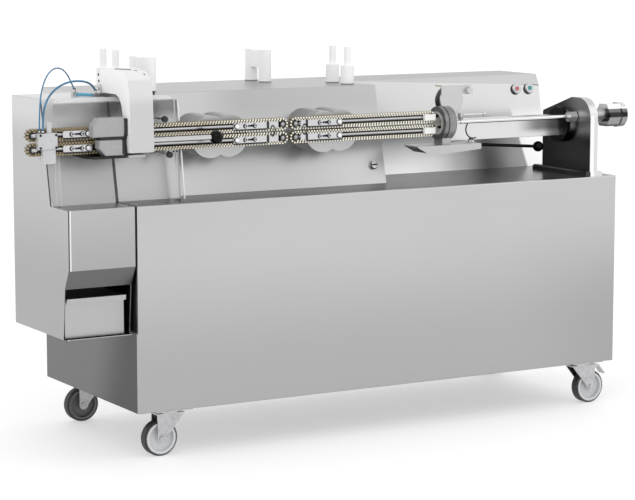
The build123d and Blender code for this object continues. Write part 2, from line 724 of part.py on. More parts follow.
def hood_shell():
    """The moulded arm, with its long edges rounded and a bore for the hinge pin."""
    shell = prism_x(hood_outline(), *HOOD_X)
    shell += rod_x(*HOOD_X, HINGE_Y, HINGE_Z, 2 * HOOD_HEEL_R)
    ridges = [e for e in shell.edges().filter_by(Axis.X) if e.center().Z > HOOD_TOP - HOOD_RISE / 2]
    shell = fillet([e for e in ridges if e.center().Y < HINGE_Y - HOOD_HEEL_R], HOOD_EDGE_R)
    return shell - rod_x(*HOOD_X, HINGE_Y, HINGE_Z, HINGE_PIN_D + 2 * RUN_FIT)


def hood_bracket():
    """A plate on the roof, two ears beside the hood and the hinge pin through them."""
    x0, x1 = HOOD_X[0] - SLIP - EAR_T, HOOD_X[1] + SLIP + EAR_T
    plate_top = HINGE_Z - HOOD_HEEL_R - SLIP
    bracket = block(x0, x1, HINGE_Y - EAR_R - 6, HINGE_Y + EAR_R + 12, ROOF, plate_top)
    for x in (x0, x1 - EAR_T):
        bracket += block(x, x + EAR_T, HINGE_Y - EAR_R, HINGE_Y + EAR_R, ROOF, HINGE_Z)
        bracket += rod_x(x, x + EAR_T, HINGE_Y, HINGE_Z, 2 * EAR_R)
    return bracket + rod_x(x0 - 4, x1 + 4, HINGE_Y, HINGE_Z, HINGE_PIN_D)


def hood_handle():
    """The steel rod in the hood's leg and the ball on its end."""
    reach = HANDLE_BALL_X - HANDLE_BALL_D / 2 + 2
    rod = rod_x(HOOD_X[1], reach, HANDLE_Y, HANDLE_Z, HANDLE_D)
    ball = Pos(HANDLE_BALL_X, HANDLE_Y, HANDLE_Z) * Sphere(HANDLE_BALL_D / 2)
    return [rod, ball - rod]


def jaw(x0, x1, z0, z1, upper):
    """A gripper block with its outer left corner cut back and rounded front edges."""
    across, along = 22, 26
    if upper:
        outline = [(x0, z0), (x1, z0), (x1, z1), (x0 + across, z1), (x0, z1 - along)]
    else:
        outline = [(x0 + across, z0), (x1, z0), (x1, z1), (x0, z1), (x0, z0 + along)]
    body = prism_y(outline, *JAW_Y)
    return fillet(body.faces().sort_by(Axis.Y)[0].edges(), 5)


def upper_jaw():
    """Carried by a block on the hood's side face."""
    x0, x1, z0, z1 = UPPER_JAW
    link = block(x1, HOOD_X[0], JAW_Y[0] + 6, JAW_Y[0] + 22, z0 + 8, z1 - 8)
    return [jaw(x0, x1, z0, z1, True), link]


def lower_jaw():
    """Stands on the tray under the conveyors."""
    top = JAW_TRAY_Z + JAW_TRAY_T
    return [jaw(*LOWER_JAW, top, top + LOWER_JAW_H, False)]


def jaw_tray():
    """A flat arm from the housing's sloped faces, forward under the conveyors."""
    x0, x1 = JAW_TRAY_X
    tray = block(x0, x1, JAW_TRAY_FRONT, B_FOOT, JAW_TRAY_Z, JAW_TRAY_Z + JAW_TRAY_T)
    tray = fillet(tray.edges().filter_by(Axis.Z).group_by(Axis.Y)[0], 20)
    tray -= housing_block(A_FOOT, A_BROW, 0, A_END)
    return tray - prism_x(extension_outline(0), -EXT_WIDTH, 0)


# Splash guard
def splash_guard():
    """A clear sheet behind the left conveyors, with a return forward at each end."""
    x0, x1 = GUARD_X
    foot_z = DECK_TOP + GUARD_FOOT_H
    outline = [
        (GUARD_FOOT_Y, foot_z),
        (GUARD_FOOT_Y + GUARD_T, foot_z),
        (GUARD_TOP_Y + GUARD_T, GUARD_TOP),
        (GUARD_TOP_Y, GUARD_TOP),
    ]
    sheet = prism_x(outline, x0, x1)
    side = [
        (GUARD_FOOT_Y - GUARD_RETURN, foot_z),
        (GUARD_FOOT_Y, foot_z),
        (GUARD_TOP_Y, GUARD_TOP),
        (GUARD_TOP_Y - GUARD_RETURN / 2, GUARD_TOP),
    ]
    reach = RAIL_RISE + PULLEY_R + BELT_BAND + TOOTH_H
    notch = block(x0, x1, 0, RAIL_BACK + 4, LINE_Z - reach - 6, LINE_Z + reach + 6)
    for x in (x0, x1 - GUARD_T):
        sheet += prism_x(side, x, x + GUARD_T) - notch
    frame = block(x0, x1, 0, B_FOOT, foot_z, GUARD_TOP)
    frame = fillet(frame.edges().filter_by(Axis.Y).group_by(Axis.Z)[-1], GUARD_CORNER)
    sheet &= frame
    for x, z in zip(THUMB_X, THUMB_Z):
        sheet -= rod_y(x, z, 0, B_FOOT, THUMB_SHAFT_D + 4 * SLIP)
    tray_top = JAW_TRAY_Z + JAW_TRAY_T
    sheet -= block(
        JAW_TRAY_X[0] - SLIP, JAW_TRAY_X[1] + SLIP, 0, B_FOOT, JAW_TRAY_Z - SLIP, tray_top + SLIP
    )
    feet = [
        block(x, x + 20, GUARD_FOOT_Y - 8, GUARD_FOOT_Y + GUARD_T + 8, DECK_TOP, foot_z)
        for x in (x0, x1 - 20)
    ]
    return [sheet, *feet]


def thumb_screw(x, z):
    """A knurled head on a long shaft that reaches the housing's face."""
    end = lean(A_FOOT, A_BROW, z - THUMB_SHAFT_D / 2) - SLIP
    return rod_y(x, z, THUMB_FRONT - THUMB_GRIP, THUMB_FRONT, THUMB_D) + rod_y(
        x, z, THUMB_FRONT, end, THUMB_SHAFT_D
    )


# Horn rests
def forked_rest(x, y):
    """Two posts joined by a bridge along their upper half."""
    rest = rod_z(x, y, ROOF, ROOF + FORKED_H, FORKED_D)
    rest += rod_z(x, y + REST_PITCH, ROOF, ROOF + FORKED_H, FORKED_D)
    bridge = block(
        x - BRIDGE_T / 2, x + BRIDGE_T / 2, y, y + REST_PITCH, ROOF + FORKED_GAP_H, ROOF + FORKED_H - 4
    )
    return rest + bridge


def pegged_rest(x, y):
    """Two separate posts that step down to narrow pegs."""
    posts = []
    for post_y in (y, y + REST_PITCH):
        post = rod_z(x, post_y, ROOF, ROOF + PEG_BASE_H, PEG_BASE_D)
        peg = rod_z(x, post_y, ROOF + PEG_BASE_H, ROOF + PEG_BASE_H + PEG_H, PEG_D)
        peg = chamfer(peg.edges().sort_by(Axis.Z)[-1], 4)
        posts.append(post + peg)
    return posts


# Right end
def right_bracket():
    """The upright plate on its foot, bored for the horn's shaft, and the inlet stub."""
    y0, y1 = BRACKET_Y
    foot_top = DECK_TOP + BRACKET_FOOT_T
    upright = prism_x(
        [
            (y0, foot_top),
            (y0, BRACKET_TOP),
            (BRACKET_BROW_Y, BRACKET_TOP),
            (y1, BRACKET_REAR_TOP),
            (y1, foot_top),
        ],
        *BRACKET_X,
    )
    edges = upright.edges().filter_by(Axis.X)
    nose = [e for e in edges if e.center().Y < y0 + 1 and e.center().Z > BRACKET_TOP - 1]
    upright = fillet(nose, BRACKET_NOSE_R)
    brow = [e for e in upright.edges().filter_by(Axis.X) if abs(e.center().Y - BRACKET_BROW_Y) < 1]
    upright = fillet(brow, 30)
    foot = block(*BRACKET_FOOT_X, *BRACKET_FOOT_Y, DECK_TOP, foot_top)
    foot = chamfer(foot.faces().sort_by(Axis.Z)[-1].edges(), 5)
    bracket = upright + foot
    bracket -= rod_x(*BRACKET_X, LINE_Y, LINE_Z, HORN_SHAFT_D + 2 * RUN_FIT)
    stub = rod_x(BRACKET_X[1], INLET_END, LINE_Y, LINE_Z, INLET_D)
    stub += rod_x(BRACKET_X[1], BRACKET_X[1] + COLLAR_T, LINE_Y, LINE_Z, COLLAR_D)
    stub += rod_x(INLET_END, INLET_END + LINER_T, LINE_Y, LINE_Z, LINER_D)
    stub -= rod_x(BRACKET_X[1], INLET_END + LINER_T, LINE_Y, LINE_Z, INLET_BORE)
    return [bracket, stub]


def union_nut():
    """A hexagon nut with a round rim, turning on the inlet stub behind its liner."""
    hexagon = Pos(LINE_Y, LINE_Z) * RegularPolygon(NUT_FLATS / 2, 6, major_radius=False)
    nut = prism_x(hexagon, NUT_START, NUT_HEX_END)
    nut += rod_x(NUT_HEX_END, NUT_END, LINE_Y, LINE_Z, NUT_RIM_D)
    liner_end = INLET_END + LINER_T + SLIP
    nut -= rod_x(NUT_START, INLET_END, LINE_Y, LINE_Z, INLET_D + 2 * RUN_FIT)
    nut -= rod_x(INLET_END - SLIP, liner_end, LINE_Y, LINE_Z, LINER_D + 2 * SLIP)
    return nut - rod_x(liner_end, NUT_END, LINE_Y, LINE_Z, NUT_THREAD_D)


def horn():
    """The stuffing horn: thin tip, tube, hexagon nut and the shaft in the bracket."""
    hexagon = Pos(LINE_Y, LINE_Z) * RegularPolygon(HORN_NUT_FLATS / 2, 6, major_radius=False)
    body = rod_x(HORN_TIP_END, HORN_TIP_START, LINE_Y, LINE_Z, HORN_TIP_D)
    body += rod_x(HORN_TIP_START, HORN_NUT_X[0], LINE_Y, LINE_Z, HORN_D)
    body += prism_x(hexagon, *HORN_NUT_X)
    body += rod_x(HORN_NUT_X[1], BRACKET_X[1], LINE_Y, LINE_Z, HORN_SHAFT_D)
    body -= rod_x(HORN_TIP_START, BRACKET_X[1], LINE_Y, LINE_Z, HORN_BORE)
    return body - rod_x(HORN_TIP_END, HORN_TIP_START, LINE_Y, LINE_Z, HORN_TIP_D - 3)


# Brake head
def brake_arm():
    """The box arm with its rounded end and wall flange, and the casting it holds."""
    z0, z1 = ARM_Z
    radius = (z1 - z0) / 2
    centre_x, centre_z = ARM_START + radius, (z0 + z1) / 2
    arm = block(centre_x, BRACKET_X[0] - FLANGE_T, *ARM_Y, z0, z1)
    arm += rod_y(centre_x, centre_z, *ARM_Y, 2 * radius)
    arm_y = sum(ARM_Y) / 2
    nut_corner = HORN_NUT_FLATS / math.sqrt(3)
    reach = math.hypot(arm_y - LINE_Y, centre_z - LINE_Z) - nut_corner - FLANGE_CLEARANCE
    arm += rod_x(BRACKET_X[0] - FLANGE_T, BRACKET_X[0], arm_y, centre_z, 2 * reach)
    cast_outline = [
        (HEAD_START, z1),
        (centre_x - 8, z1),
        (centre_x - 8, centre_z),
        (ARM_START, z0),
        (ARM_START, SADDLE_TOP - SADDLE_T),
        (HEAD_START, SADDLE_TOP - SADDLE_T),
    ]
    cast = prism_y(cast_outline, *ARM_Y)
    saddle = [
        (SADDLE_LEFT, SADDLE_TOP),
        (ARM_START, SADDLE_TOP),
        (ARM_START, SADDLE_TOP - SADDLE_T),
        (SADDLE_LEFT + 90, SADDLE_TOP - SADDLE_T - 14),
        (SADDLE_LEFT + 40, SADDLE_TOP - SADDLE_T - 6),
        (SADDLE_LEFT, SADDLE_TOP - 4),
    ]
    cast += prism_y(saddle, *SADDLE_Y)
    cast -= rod_y(centre_x, centre_z, *ARM_Y, 2 * radius + 2 * RUN_FIT)
    pin_foot = z0 - SLIP - LEVER_HUB_H
    arm += rod_z(LEVER_X, LEVER_Y, pin_foot, centre_z, LEVER_PIN_D)
    arm += rod_z(LEVER_X, LEVER_Y, pin_foot - 3, pin_foot - SLIP, LEVER_PIN_D + 8)
    return [arm, cast]


def brake_housing():
    """The ring round the rotor, on a foot that slides along the saddle."""
    x0, x1 = RING_X
    ring = rod_x(x0, x1, LINE_Y, LINE_Z, RING_D)
    half = 28
    ring += block(x0 + 6, x1 - 6, LINE_Y - half, LINE_Y + half, SADDLE_TOP + SLIP, LINE_Z - RING_D / 3)
    return ring - rod_x(x0, x1, LINE_Y, LINE_Z, ROTOR_D + 2 * RUN_FIT)


def brake_ring():
    """The rotor that holds the casing: a ring with a conical mouth."""
    x0, x1 = RING_X
    ring = rod_x(x0 - 3, x1 - 6, LINE_Y, LINE_Z, ROTOR_D)
    mouth = Pos(x0 + 6, LINE_Y, LINE_Z) * Rot(0, 90, 0) * Cone(ROTOR_D / 2 - 8, ROTOR_BORE / 2, 18)
    return ring - mouth - rod_x(x0 - 3, x1, LINE_Y, LINE_Z, ROTOR_BORE)


def round_cover():
    """The drum behind the ring on its post, and the bent plate over it."""
    drum = rod_y(COVER_X, COVER_Z, *COVER_Y, 2 * COVER_R)
    drum = fillet(drum.edges().filter_by(GeomType.CIRCLE).sort_by(Axis.Y)[0], 3)
    half = COVER_POST / 2
    post = block(
        COVER_X - half, COVER_X + half, COVER_Y[0] + 4, COVER_Y[1], ARM_Z[1], COVER_Z
    ) - rod_y(COVER_X, COVER_Z, *COVER_Y, 2 * COVER_R)
    plate = [
        (COVER_Y[0] - 5, COVER_Z + 20),
        (COVER_Y[0] - SLIP, COVER_Z + 20),
        (COVER_Y[0] - SLIP, COVER_Z + COVER_R + SLIP),
        (COVER_Y[1], COVER_Z + COVER_R + SLIP),
        (COVER_Y[1], COVER_Z + COVER_R + 6),
        (COVER_Y[0] - 5, COVER_Z + COVER_R + 6),
    ]
    return [drum, post, prism_x(plate, COVER_X - COVER_R + 2, WING_X + 14)]


def wing_knob():
    """A small lobed knob that clamps the plate over the drum."""
    y1 = COVER_Y[0] - 5 - SLIP
    knob = rod_y(WING_X, WING_Z, y1 - 14, y1, WING_D)
    for i in range(6):
        turn = math.radians(60 * i)
        r = WING_D / 2 + 1
        knob -= rod_y(
            WING_X + r * math.cos(turn), WING_Z + r * math.sin(turn), y1 - 14, y1, 7
        )
    return knob


def brake_lever():
    """The hand lever: hub under the arm, sloping rod and ball."""
    top = ARM_Z[0] - SLIP
    hub = rod_z(LEVER_X, LEVER_Y, top - LEVER_HUB_H, top, LEVER_HUB_D)
    start = Vector(LEVER_X, LEVER_Y, top - LEVER_HUB_H / 2)
    end = start + Vector(LEVER_REACH, 0, -LEVER_DROP)
    rod = Solid.make_cylinder(
        LEVER_ROD_D / 2, (end - start).length - LEVER_BALL_D / 2 + 2, Plane(start, z_dir=end - start)
    )
    ball = Pos(*end) * Sphere(LEVER_BALL_D / 2) - rod
    bore = rod_z(LEVER_X, LEVER_Y, top - LEVER_HUB_H, top, LEVER_PIN_D + 2 * RUN_FIT)
    return [hub + rod - bore, ball]


def clamp_lever():
    """The short clamping handle on top of the casting."""
    z = ARM_Z[1] + CLAMP_BASE_H
    hub = rod_z(CLAMP_X, CLAMP_Y, ARM_Z[1] + SLIP, z + 8, 20)
    rod = rod_x(CLAMP_X, CLAMP_X + CLAMP_REACH, CLAMP_Y, z, CLAMP_ROD_D)
    knob = Pos(CLAMP_X + CLAMP_REACH, CLAMP_Y, z) * Sphere(CLAMP_KNOB_D / 2)
    return hub + rod + knob


# Controls
def on_face(x, z, foot, brow):
    """The plane of a sloped face at (x, z), with its normal pointing out of the housing."""
    slope = (brow - foot) / (ROOF - DECK_TOP)
    return Plane((x, lean(foot, brow, z), z), x_dir=(1, 0, 0), z_dir=(0, -1, slope))


def standing(plane, low, high, diameter):
    """A disc on a plane, from one height to another above it."""
    return plane * Pos(0, 0, (low + high) / 2) * Cylinder(diameter / 2, high - low)


def button_bezels():
    rings = []
    for x in BUTTON_X:
        face = on_face(x, BUTTON_Z, C_FOOT, C_BROW)
        ring = standing(face, 0, BEZEL_T, BEZEL_D)
        ring = chamfer(ring.edges().filter_by(GeomType.CIRCLE).sort_by(Axis.Y)[0], 3)
        rings.append(ring - standing(face, 1, BEZEL_T, BUTTON_D + 2 * SLIP))
    return rings


def button(x):
    face = on_face(x, BUTTON_Z, C_FOOT, C_BROW)
    high = BEZEL_T + BUTTON_PROUD
    return standing(face, high - BUTTON_LENGTH, high, BUTTON_D)


def panel_latch():
    """A quarter-turn latch with a slot across its face."""
    face = on_face(LATCH_X, LATCH_Z, B_FOOT, B_BROW)
    disc = standing(face, SLIP, LATCH_T, LATCH_D)
    disc = chamfer(disc.edges().filter_by(GeomType.CIRCLE).sort_by(Axis.Y)[0], 3)
    return disc - face * Pos(0, 0, LATCH_T) * Box(LATCH_D, 5, 6)


# Hoses
def hose_fittings():
    """Ports on the end block, the manifold and the elbow on the roof, and the tube between them."""
    base = END_Z[1]
    ports = [rod_z(x, y, base, base + FITTING_H, FITTING_D) for x, y in BLOCK_PORTS]
    manifold = block(*MANIFOLD_X, *MANIFOLD_Y, ROOF, ROOF + MANIFOLD_H)
    manifold += rod_z(*MANIFOLD_PORT, ROOF + MANIFOLD_H, ROOF + MANIFOLD_H + FITTING_H, FITTING_D)
    elbow = block(*ELBOW_X, *ELBOW_Y, ROOF, ROOF + ELBOW_H)
    elbow += rod_z(*ELBOW_PORT, ROOF + ELBOW_H, ROOF + ELBOW_H + FITTING_H, FITTING_D)
    start = Vector(*ELBOW_PORT, ROOF + LINK_D / 2 + 1)
    end = Vector(sum(MANIFOLD_X) / 2, sum(MANIFOLD_Y) / 2, ROOF + LINK_D / 2 + 1)
    link = Solid.make_cylinder(
        LINK_D / 2, (end - start).length, Plane(start, z_dir=end - start)
    )
    return [*ports, manifold, elbow, link - manifold - elbow]


def hose(start, bends, end, diameter):
    """Straight runs joined by arcs as large as the runs allow; the radii are printed."""
    corners = [start, *[Vector(x, y, ROOF + rise) for x, y, rise in bends], end]
    radii = []
    for before, at, after in zip(corners, corners[1:], corners[2:]):
        turn = math.radians((at - before).get_angle(after - at))
        radii.append(0.45 * min((at - before).length, (after - at).length) / math.tan(turn / 2))
    path = FilletPolyline(*corners, radius=radii)
    print("hose of", diameter, "mm: length", round(path.length, 1), "radii", [round(r) for r in radii])
    entry = Plane(corners[0], z_dir=corners[1] - corners[0])
    return sweep(entry * Circle(diameter / 2), path=path)


def air_hoses():
    """The two hoses, each from the top of one fitting to the top of another."""
    base = END_Z[1] + FITTING_H
    ends = (
        Vector(*MANIFOLD_PORT, ROOF + MANIFOLD_H + FITTING_H),
        Vector(*ELBOW_PORT, ROOF + ELBOW_H + FITTING_H),
    )
    return [
        hose(Vector(*port, base), bends, end, diameter)
        for port, bends, end, diameter in zip(
            BLOCK_PORTS, (HOSE_1_BENDS, HOSE_2_BENDS), ends, HOSE_D
        )
    ]


# Sub-parts in the order of assembly
save("base_frame", *base_frame())
save("cabinet_panels", *cabinet_panels())
save("front_panel", front_panel())
save("deck_plate", block(0, LENGTH, PAN_RETURN, DEPTH, DECK_TOP - DECK_SHEET, DECK_TOP))
save("main_housing", main_housing())
save("control_housing", control_housing())
save("extension_shell", extension_shell())
save("drawer", drawer())
save("caster_plates", *caster_plates())
for side, x, sign in zip(("left", "right"), CASTER_X, TRAIL_SIGN):
    for row, y in zip(("front", "rear"), CASTER_Y):
        body = fork(x, y, sign)
        if (row, side) == ("front", "right"):
            body += pedal_pin(x, y)
        save(f"caster_fork_{row}_{side}", body)
        save(f"caster_wheel_{row}_{side}", *wheel(x + sign * CASTER_TRAIL, y))
save("brake_pedal", brake_pedal(CASTER_X[1], CASTER_Y[0]))

LEVELS = {"upper": LINE_Z + RAIL_RISE, "lower": LINE_Z - RAIL_RISE}
PAIRS = {"left": LEFT_PAIR, "right": RIGHT_PAIR}
save("toothed_belts", *[belt(*pair, z) for pair in PAIRS.values() for z in LEVELS.values()])
save("conveyor_rails", *[conveyor_rail(*pair, z) for pair in PAIRS.values() for z in LEVELS.values()])
for level, z in LEVELS.items():
    for side, pair in PAIRS.items():
        save(f"pulley_{level}_{side}_a", pulley(pair[0], z))
        save(f"pulley_{level}_{side}_b", pulley(pair[1], z))
save(
    "tension_blocks",
    *[
        piece
        for z in LEVELS.values()
        for spans in (LEFT_BLOCKS, RIGHT_BLOCKS)
        for span in spans
        for piece in tension_block(*span, z)
    ],
    *[centre_plate(*span, z) for z in LEVELS.values() for span in CENTRE_PLATES],
)
save("nose_blocks", *[nose_block(z) for z in LEVELS.values()])
save("support_bosses", *support_bosses())
save("end_block", *end_block())

save("hood_bracket", hood_bracket())
save("hood_shell", hood_shell())
save("hood_handle", *hood_handle())
save("upper_jaw", *upper_jaw())
save("lower_jaw", *lower_jaw())
save("jaw_tray", jaw_tray())

save("hose_fittings", *hose_fittings())
save("air_hoses", *air_hoses())
save("splash_guard", *splash_guard())
save("thumb_screw_upper", thumb_screw(THUMB_X[0], THUMB_Z[0]))
save("thumb_screw_lower", thumb_screw(THUMB_X[1], THUMB_Z[1]))
save(
    "spare_horn_rests",
    *[forked_rest(*at) for at in FORKED_AT],
    *[post for at in PEGGED_AT for post in pegged_rest(*at)],
)

save("right_bracket", *right_bracket())
save("union_nut", union_nut())
save("horn", horn())
save("brake_arm", *brake_arm())
save("brake_housing", brake_housing())
save("brake_ring", brake_ring())
save("round_cover", *round_cover())
save("wing_knob", wing_knob())
save("brake_lever", *brake_lever())
save("clamp_lever", clamp_lever())

save("button_bezels", *button_bezels())
save("red_button", button(BUTTON_X[0]))
save("green_button", button(BUTTON_X[1]))
save("panel_latch", panel_latch())
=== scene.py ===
import math
from types import SimpleNamespace

import bmesh
import bpy
from mathutils import Matrix, Vector


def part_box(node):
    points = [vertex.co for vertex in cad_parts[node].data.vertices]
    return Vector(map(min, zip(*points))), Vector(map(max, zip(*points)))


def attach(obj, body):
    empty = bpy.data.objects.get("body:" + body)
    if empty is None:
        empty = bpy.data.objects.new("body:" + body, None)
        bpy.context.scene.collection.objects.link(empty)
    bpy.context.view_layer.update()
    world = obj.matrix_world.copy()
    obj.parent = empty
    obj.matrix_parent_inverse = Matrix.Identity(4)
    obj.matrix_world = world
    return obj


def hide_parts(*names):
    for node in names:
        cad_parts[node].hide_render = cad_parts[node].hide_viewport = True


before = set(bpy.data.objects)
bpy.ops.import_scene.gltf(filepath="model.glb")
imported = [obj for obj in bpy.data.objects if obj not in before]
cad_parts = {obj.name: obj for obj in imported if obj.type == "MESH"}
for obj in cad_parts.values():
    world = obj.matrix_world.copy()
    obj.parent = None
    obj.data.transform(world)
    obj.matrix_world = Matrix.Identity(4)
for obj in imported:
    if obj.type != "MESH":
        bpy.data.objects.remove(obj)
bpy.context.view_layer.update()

# Camera
# The photograph is taken from the front left with a long lens, a little above the deck.
# The lens and the angles were fitted to the cabinet's corners and the ends of the conveyors.
view_camera = bpy.data.objects.new("view_camera", bpy.data.cameras.new("view_camera"))
bpy.context.scene.collection.objects.link(view_camera)
view_camera.location = (-4.1432, -7.2826, 1.7842)
view_camera.rotation_euler = (math.radians(90 - 7.903), 0, math.radians(-29.949))
view_camera.data.sensor_width = 36
view_camera.data.lens = 129.69
view_camera.data.clip_end = 200
bpy.context.scene.camera = view_camera


# Air hoses
# Two stiff blue polyurethane tubes, pushed into fittings on the end block and on the roof.
# They arch up and over the edge of the roof under their own stiffness.
class Amount:
    """A number that changes over a surface, which can be used in sums as a plain number can."""

    def __init__(self, finish, socket):
        self.finish = finish
        self.socket = socket

    def sum(self, operation, *terms):
        return self.finish.add("ShaderNodeMath", {"operation": operation}, dict(enumerate(terms)))

    def __add__(self, other):
        return self.sum("ADD", self, other)

    def __sub__(self, other):
        return self.sum("SUBTRACT", self, other)

    def __rsub__(self, other):
        return self.sum("SUBTRACT", other, self)

    def __mul__(self, other):
        return self.sum("MULTIPLY", self, other)

    def __abs__(self):
        return self.sum("ABSOLUTE", self)

    def least(self, other):
        return self.sum("MINIMUM", self, other)

    def most(self, other):
        return self.sum("MAXIMUM", self, other)

    def rise(self, low, high):
        """0 up to low, 1 from high on, and a smooth rise between; low may be the greater."""
        share = ((self - low) * (1 / (high - low))).most(0.0).least(1.0)
        return share * share * (3.0 - share * 2.0)


class Finish:
    """A procedural material: a colour and gloss, and what changes them over the surface."""

    def __init__(self, name, colour, roughness=0.5, metallic=0.0, **more):
        self.material = bpy.data.materials.new(name)
        self.material.use_nodes = True
        self.tree = self.material.node_tree
        self.shader = self.tree.nodes["Principled BSDF"]
        self.colour = self.full(colour)
        self.put(self.shader, "Base Color", self.colour)
        self.put(self.shader, "Roughness", roughness)
        self.put(self.shader, "Metallic", metallic)
        for socket, value in more.items():
            self.put(self.shader, socket.replace("_", " ").title().replace("Ior", "IOR"), value)

    def full(self, colour):
        """A colour, or a grey given as one number, as red, green, blue and an alpha of 1."""
        return (*colour, 1.0) if isinstance(colour, tuple) else (colour, colour, colour, 1.0)

    def put(self, node, socket, value):
        """Sets one socket of a node to a value, or links it to what an amount comes from."""
        if isinstance(value, Amount):
            self.tree.links.new(value.socket, node.inputs[socket])
        else:
            node.inputs[socket].default_value = value

    def add(self, kind, settings=None, sockets=None, output=0):
        """Makes a node, its settings first, and returns one of its outputs."""
        node = self.tree.nodes.new(kind)
        for key, value in (settings or {}).items():
            setattr(node, key, value)
        for key, value in (sockets or {}).items():
            self.put(node, key, value)
        return Amount(self, node.outputs[output])

    def place(self):
        """The x, y and z of a point of the surface, in metres from the machine's middle."""
        point = self.add("ShaderNodeTexCoord", output="Object")
        node = self.add("ShaderNodeSeparateXYZ", sockets={"Vector": point}).socket.node
        return SimpleNamespace(**{axis: Amount(self, node.outputs[axis.upper()]) for axis in "xyz"})

    def noise(self, x_per_m, y_per_m, z_per_m, detail=2.0):
        """Noise from 0 to 1 with so many waves to the metre along each axis."""
        at = self.place()
        waves = {"X": at.x * x_per_m, "Y": at.y * y_per_m, "Z": at.z * z_per_m}
        point = self.add("ShaderNodeCombineXYZ", sockets=waves)
        return self.add("ShaderNodeTexNoise", sockets={"Vector": point, "Scale": 1.0, "Detail": detail})

    def blend(self, share, colour):
        """Lays a colour over the present one by a share from 0 to 1."""
        layers = {0: share, 6: self.colour, 7: self.full(colour)}
        self.colour = self.add("ShaderNodeMix", {"data_type": "RGBA"}, layers, 2)
        self.put(self.shader, "Base Color", self.colour)

    def mottle(self, per_m, share, colour, low=0.4, high=0.75):
        """Lays a colour over the present one in even spots, so many to the metre."""
        self.blend(self.noise(per_m, per_m, per_m).rise(low, high) * share, colour)

    def rough(self, amount):
        self.put(self.shader, "Roughness", amount)

    def wear(self, grain, share, colour, spread, least, low=0.4, high=0.75):
        """Fine marks of another colour; the roughness goes up from the least by a spread on them."""
        marks = self.noise(*grain, detail=3.0)
        self.blend(marks.rise(low, high) * share, colour)
        self.rough(marks * spread + least)

    def bump(self, height, depth=0.001, strength=0.3):
        """Raises the surface by height, 0 to 1, times depth in metres."""
        normal = {"Height": height, "Distance": depth, "Strength": strength}
        self.put(self.shader, "Normal", self.add("ShaderNodeBump", sockets=normal))


def cover(node, *finishes):
    """Gives a CAD node its finishes; the first is on every face until some are set."""
    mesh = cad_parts[node].data
    mesh.materials.clear()
    for finish in finishes:
        mesh.materials.append(finish.material)
    return mesh


hose_blue = Finish("hose_blue", (0.012, 0.11, 0.22), 0.22, coat_weight=0.4)
hose_blue.blend(hose_blue.noise(30, 30, 30).rise(0.35, 0.7), (0.02, 0.17, 0.33))
hose_routes = {
    "air_hose_wide": (
        0.007,
        (
            (-1.1745, -0.318, 1.138),
            (-1.1675, -0.304, 1.180),
            (-1.1525, -0.284, 1.217),
            (-1.1205, -0.260, 1.254),
            (-1.0735, -0.240, 1.281),
            (-1.0205, -0.220, 1.291),
            (-0.9685, -0.200, 1.287),
            (-0.9305, -0.179, 1.272),
            (-0.9125, -0.161, 1.252),
        ),
    ),
    "air_hose_narrow": (
        0.005,
        (
            (-1.1825, -0.3075, 1.138),
            (-1.1745, -0.292, 1.190),
            (-1.1625, -0.274, 1.245),
            (-1.1385, -0.246, 1.290),
            (-1.1065, -0.216, 1.322),
            (-1.0665, -0.186, 1.336),
            (-1.0285, -0.160, 1.326),
            (-1.0005, -0.136, 1.302),
            (-0.9765, -0.108, 1.274),
            (-0.9585, -0.090, 1.254),
        ),
    ),
}
for hose_name, (hose_d, route) in hose_routes.items():
    hose_curve = bpy.data.curves.new(hose_name, "CURVE")
    hose_curve.dimensions = "3D"
    hose_curve.bevel_depth = hose_d / 2
    hose_curve.bevel_resolution = 5
    hose_curve.resolution_u = 12
    hose_curve.use_fill_caps = True
    hose_line = hose_curve.splines.new("NURBS")
    hose_line.points.add(len(route) - 1)
    for point, corner in zip(hose_line.points, route):
        point.co = (*corner, 1.0)
    hose_line.order_u = 3
    hose_line.use_endpoint_u = True
    hose_curve.materials.append(hose_blue.material)
    air_hose = bpy.data.objects.new(hose_name, hose_curve)
    bpy.context.scene.collection.objects.link(air_hose)
    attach(air_hose, "machine")
    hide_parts("air_hoses")


# Studio
# A broad white paper sweep under an even white sky, with two large soft lamps.
paper_glow = {"emission_color": (1, 1, 1, 1), "emission_strength": 0.47}
paper_white = Finish("paper_white", 0.535, 0.7, **paper_glow)
paper_white.mottle(0.5, 0.4, (0.55, 0.55, 0.555), 0.3, 0.8)
paper = bmesh.new()
bmesh.ops.create_grid(paper, x_segments=1, y_segments=1, size=60)
paper_floor = bpy.data.objects.new("paper_floor", bpy.data.meshes.new("paper_floor"))
bpy.context.scene.collection.objects.link(paper_floor)
paper.to_mesh(paper_floor.data)
paper.free()
paper_floor.data.materials.append(paper_white.material)
sky = bpy.data.worlds.new("studio_sky")
bpy.context.scene.world = sky
sky.use_nodes = True
sky.node_tree.nodes["Background"].inputs["Color"].default_value = (1, 1, 1, 1)
sky.node_tree.nodes["Background"].inputs["Strength"].default_value = 1.05
lamps = {
    "left_lamp": ((-3.5, -5.0, 5.5), 4.5, 70),
    "right_lamp": ((4.5, -3.5, 4.0), 4.0, 30),
}
for lamp_name, (lamp_at, lamp_size, lamp_power) in lamps.items():
    lamp = bpy.data.objects.new(lamp_name, bpy.data.lights.new(lamp_name, "AREA"))
    bpy.context.scene.collection.objects.link(lamp)
    lamp.data.size = lamp_size
    lamp.data.energy = lamp_power
    lamp.location = lamp_at
    lamp.rotation_euler = (Vector((0, 0, 0.8)) - lamp.location).to_track_quat("-Z", "Y").to_euler()
bpy.context.scene.view_settings.view_transform = "Standard"

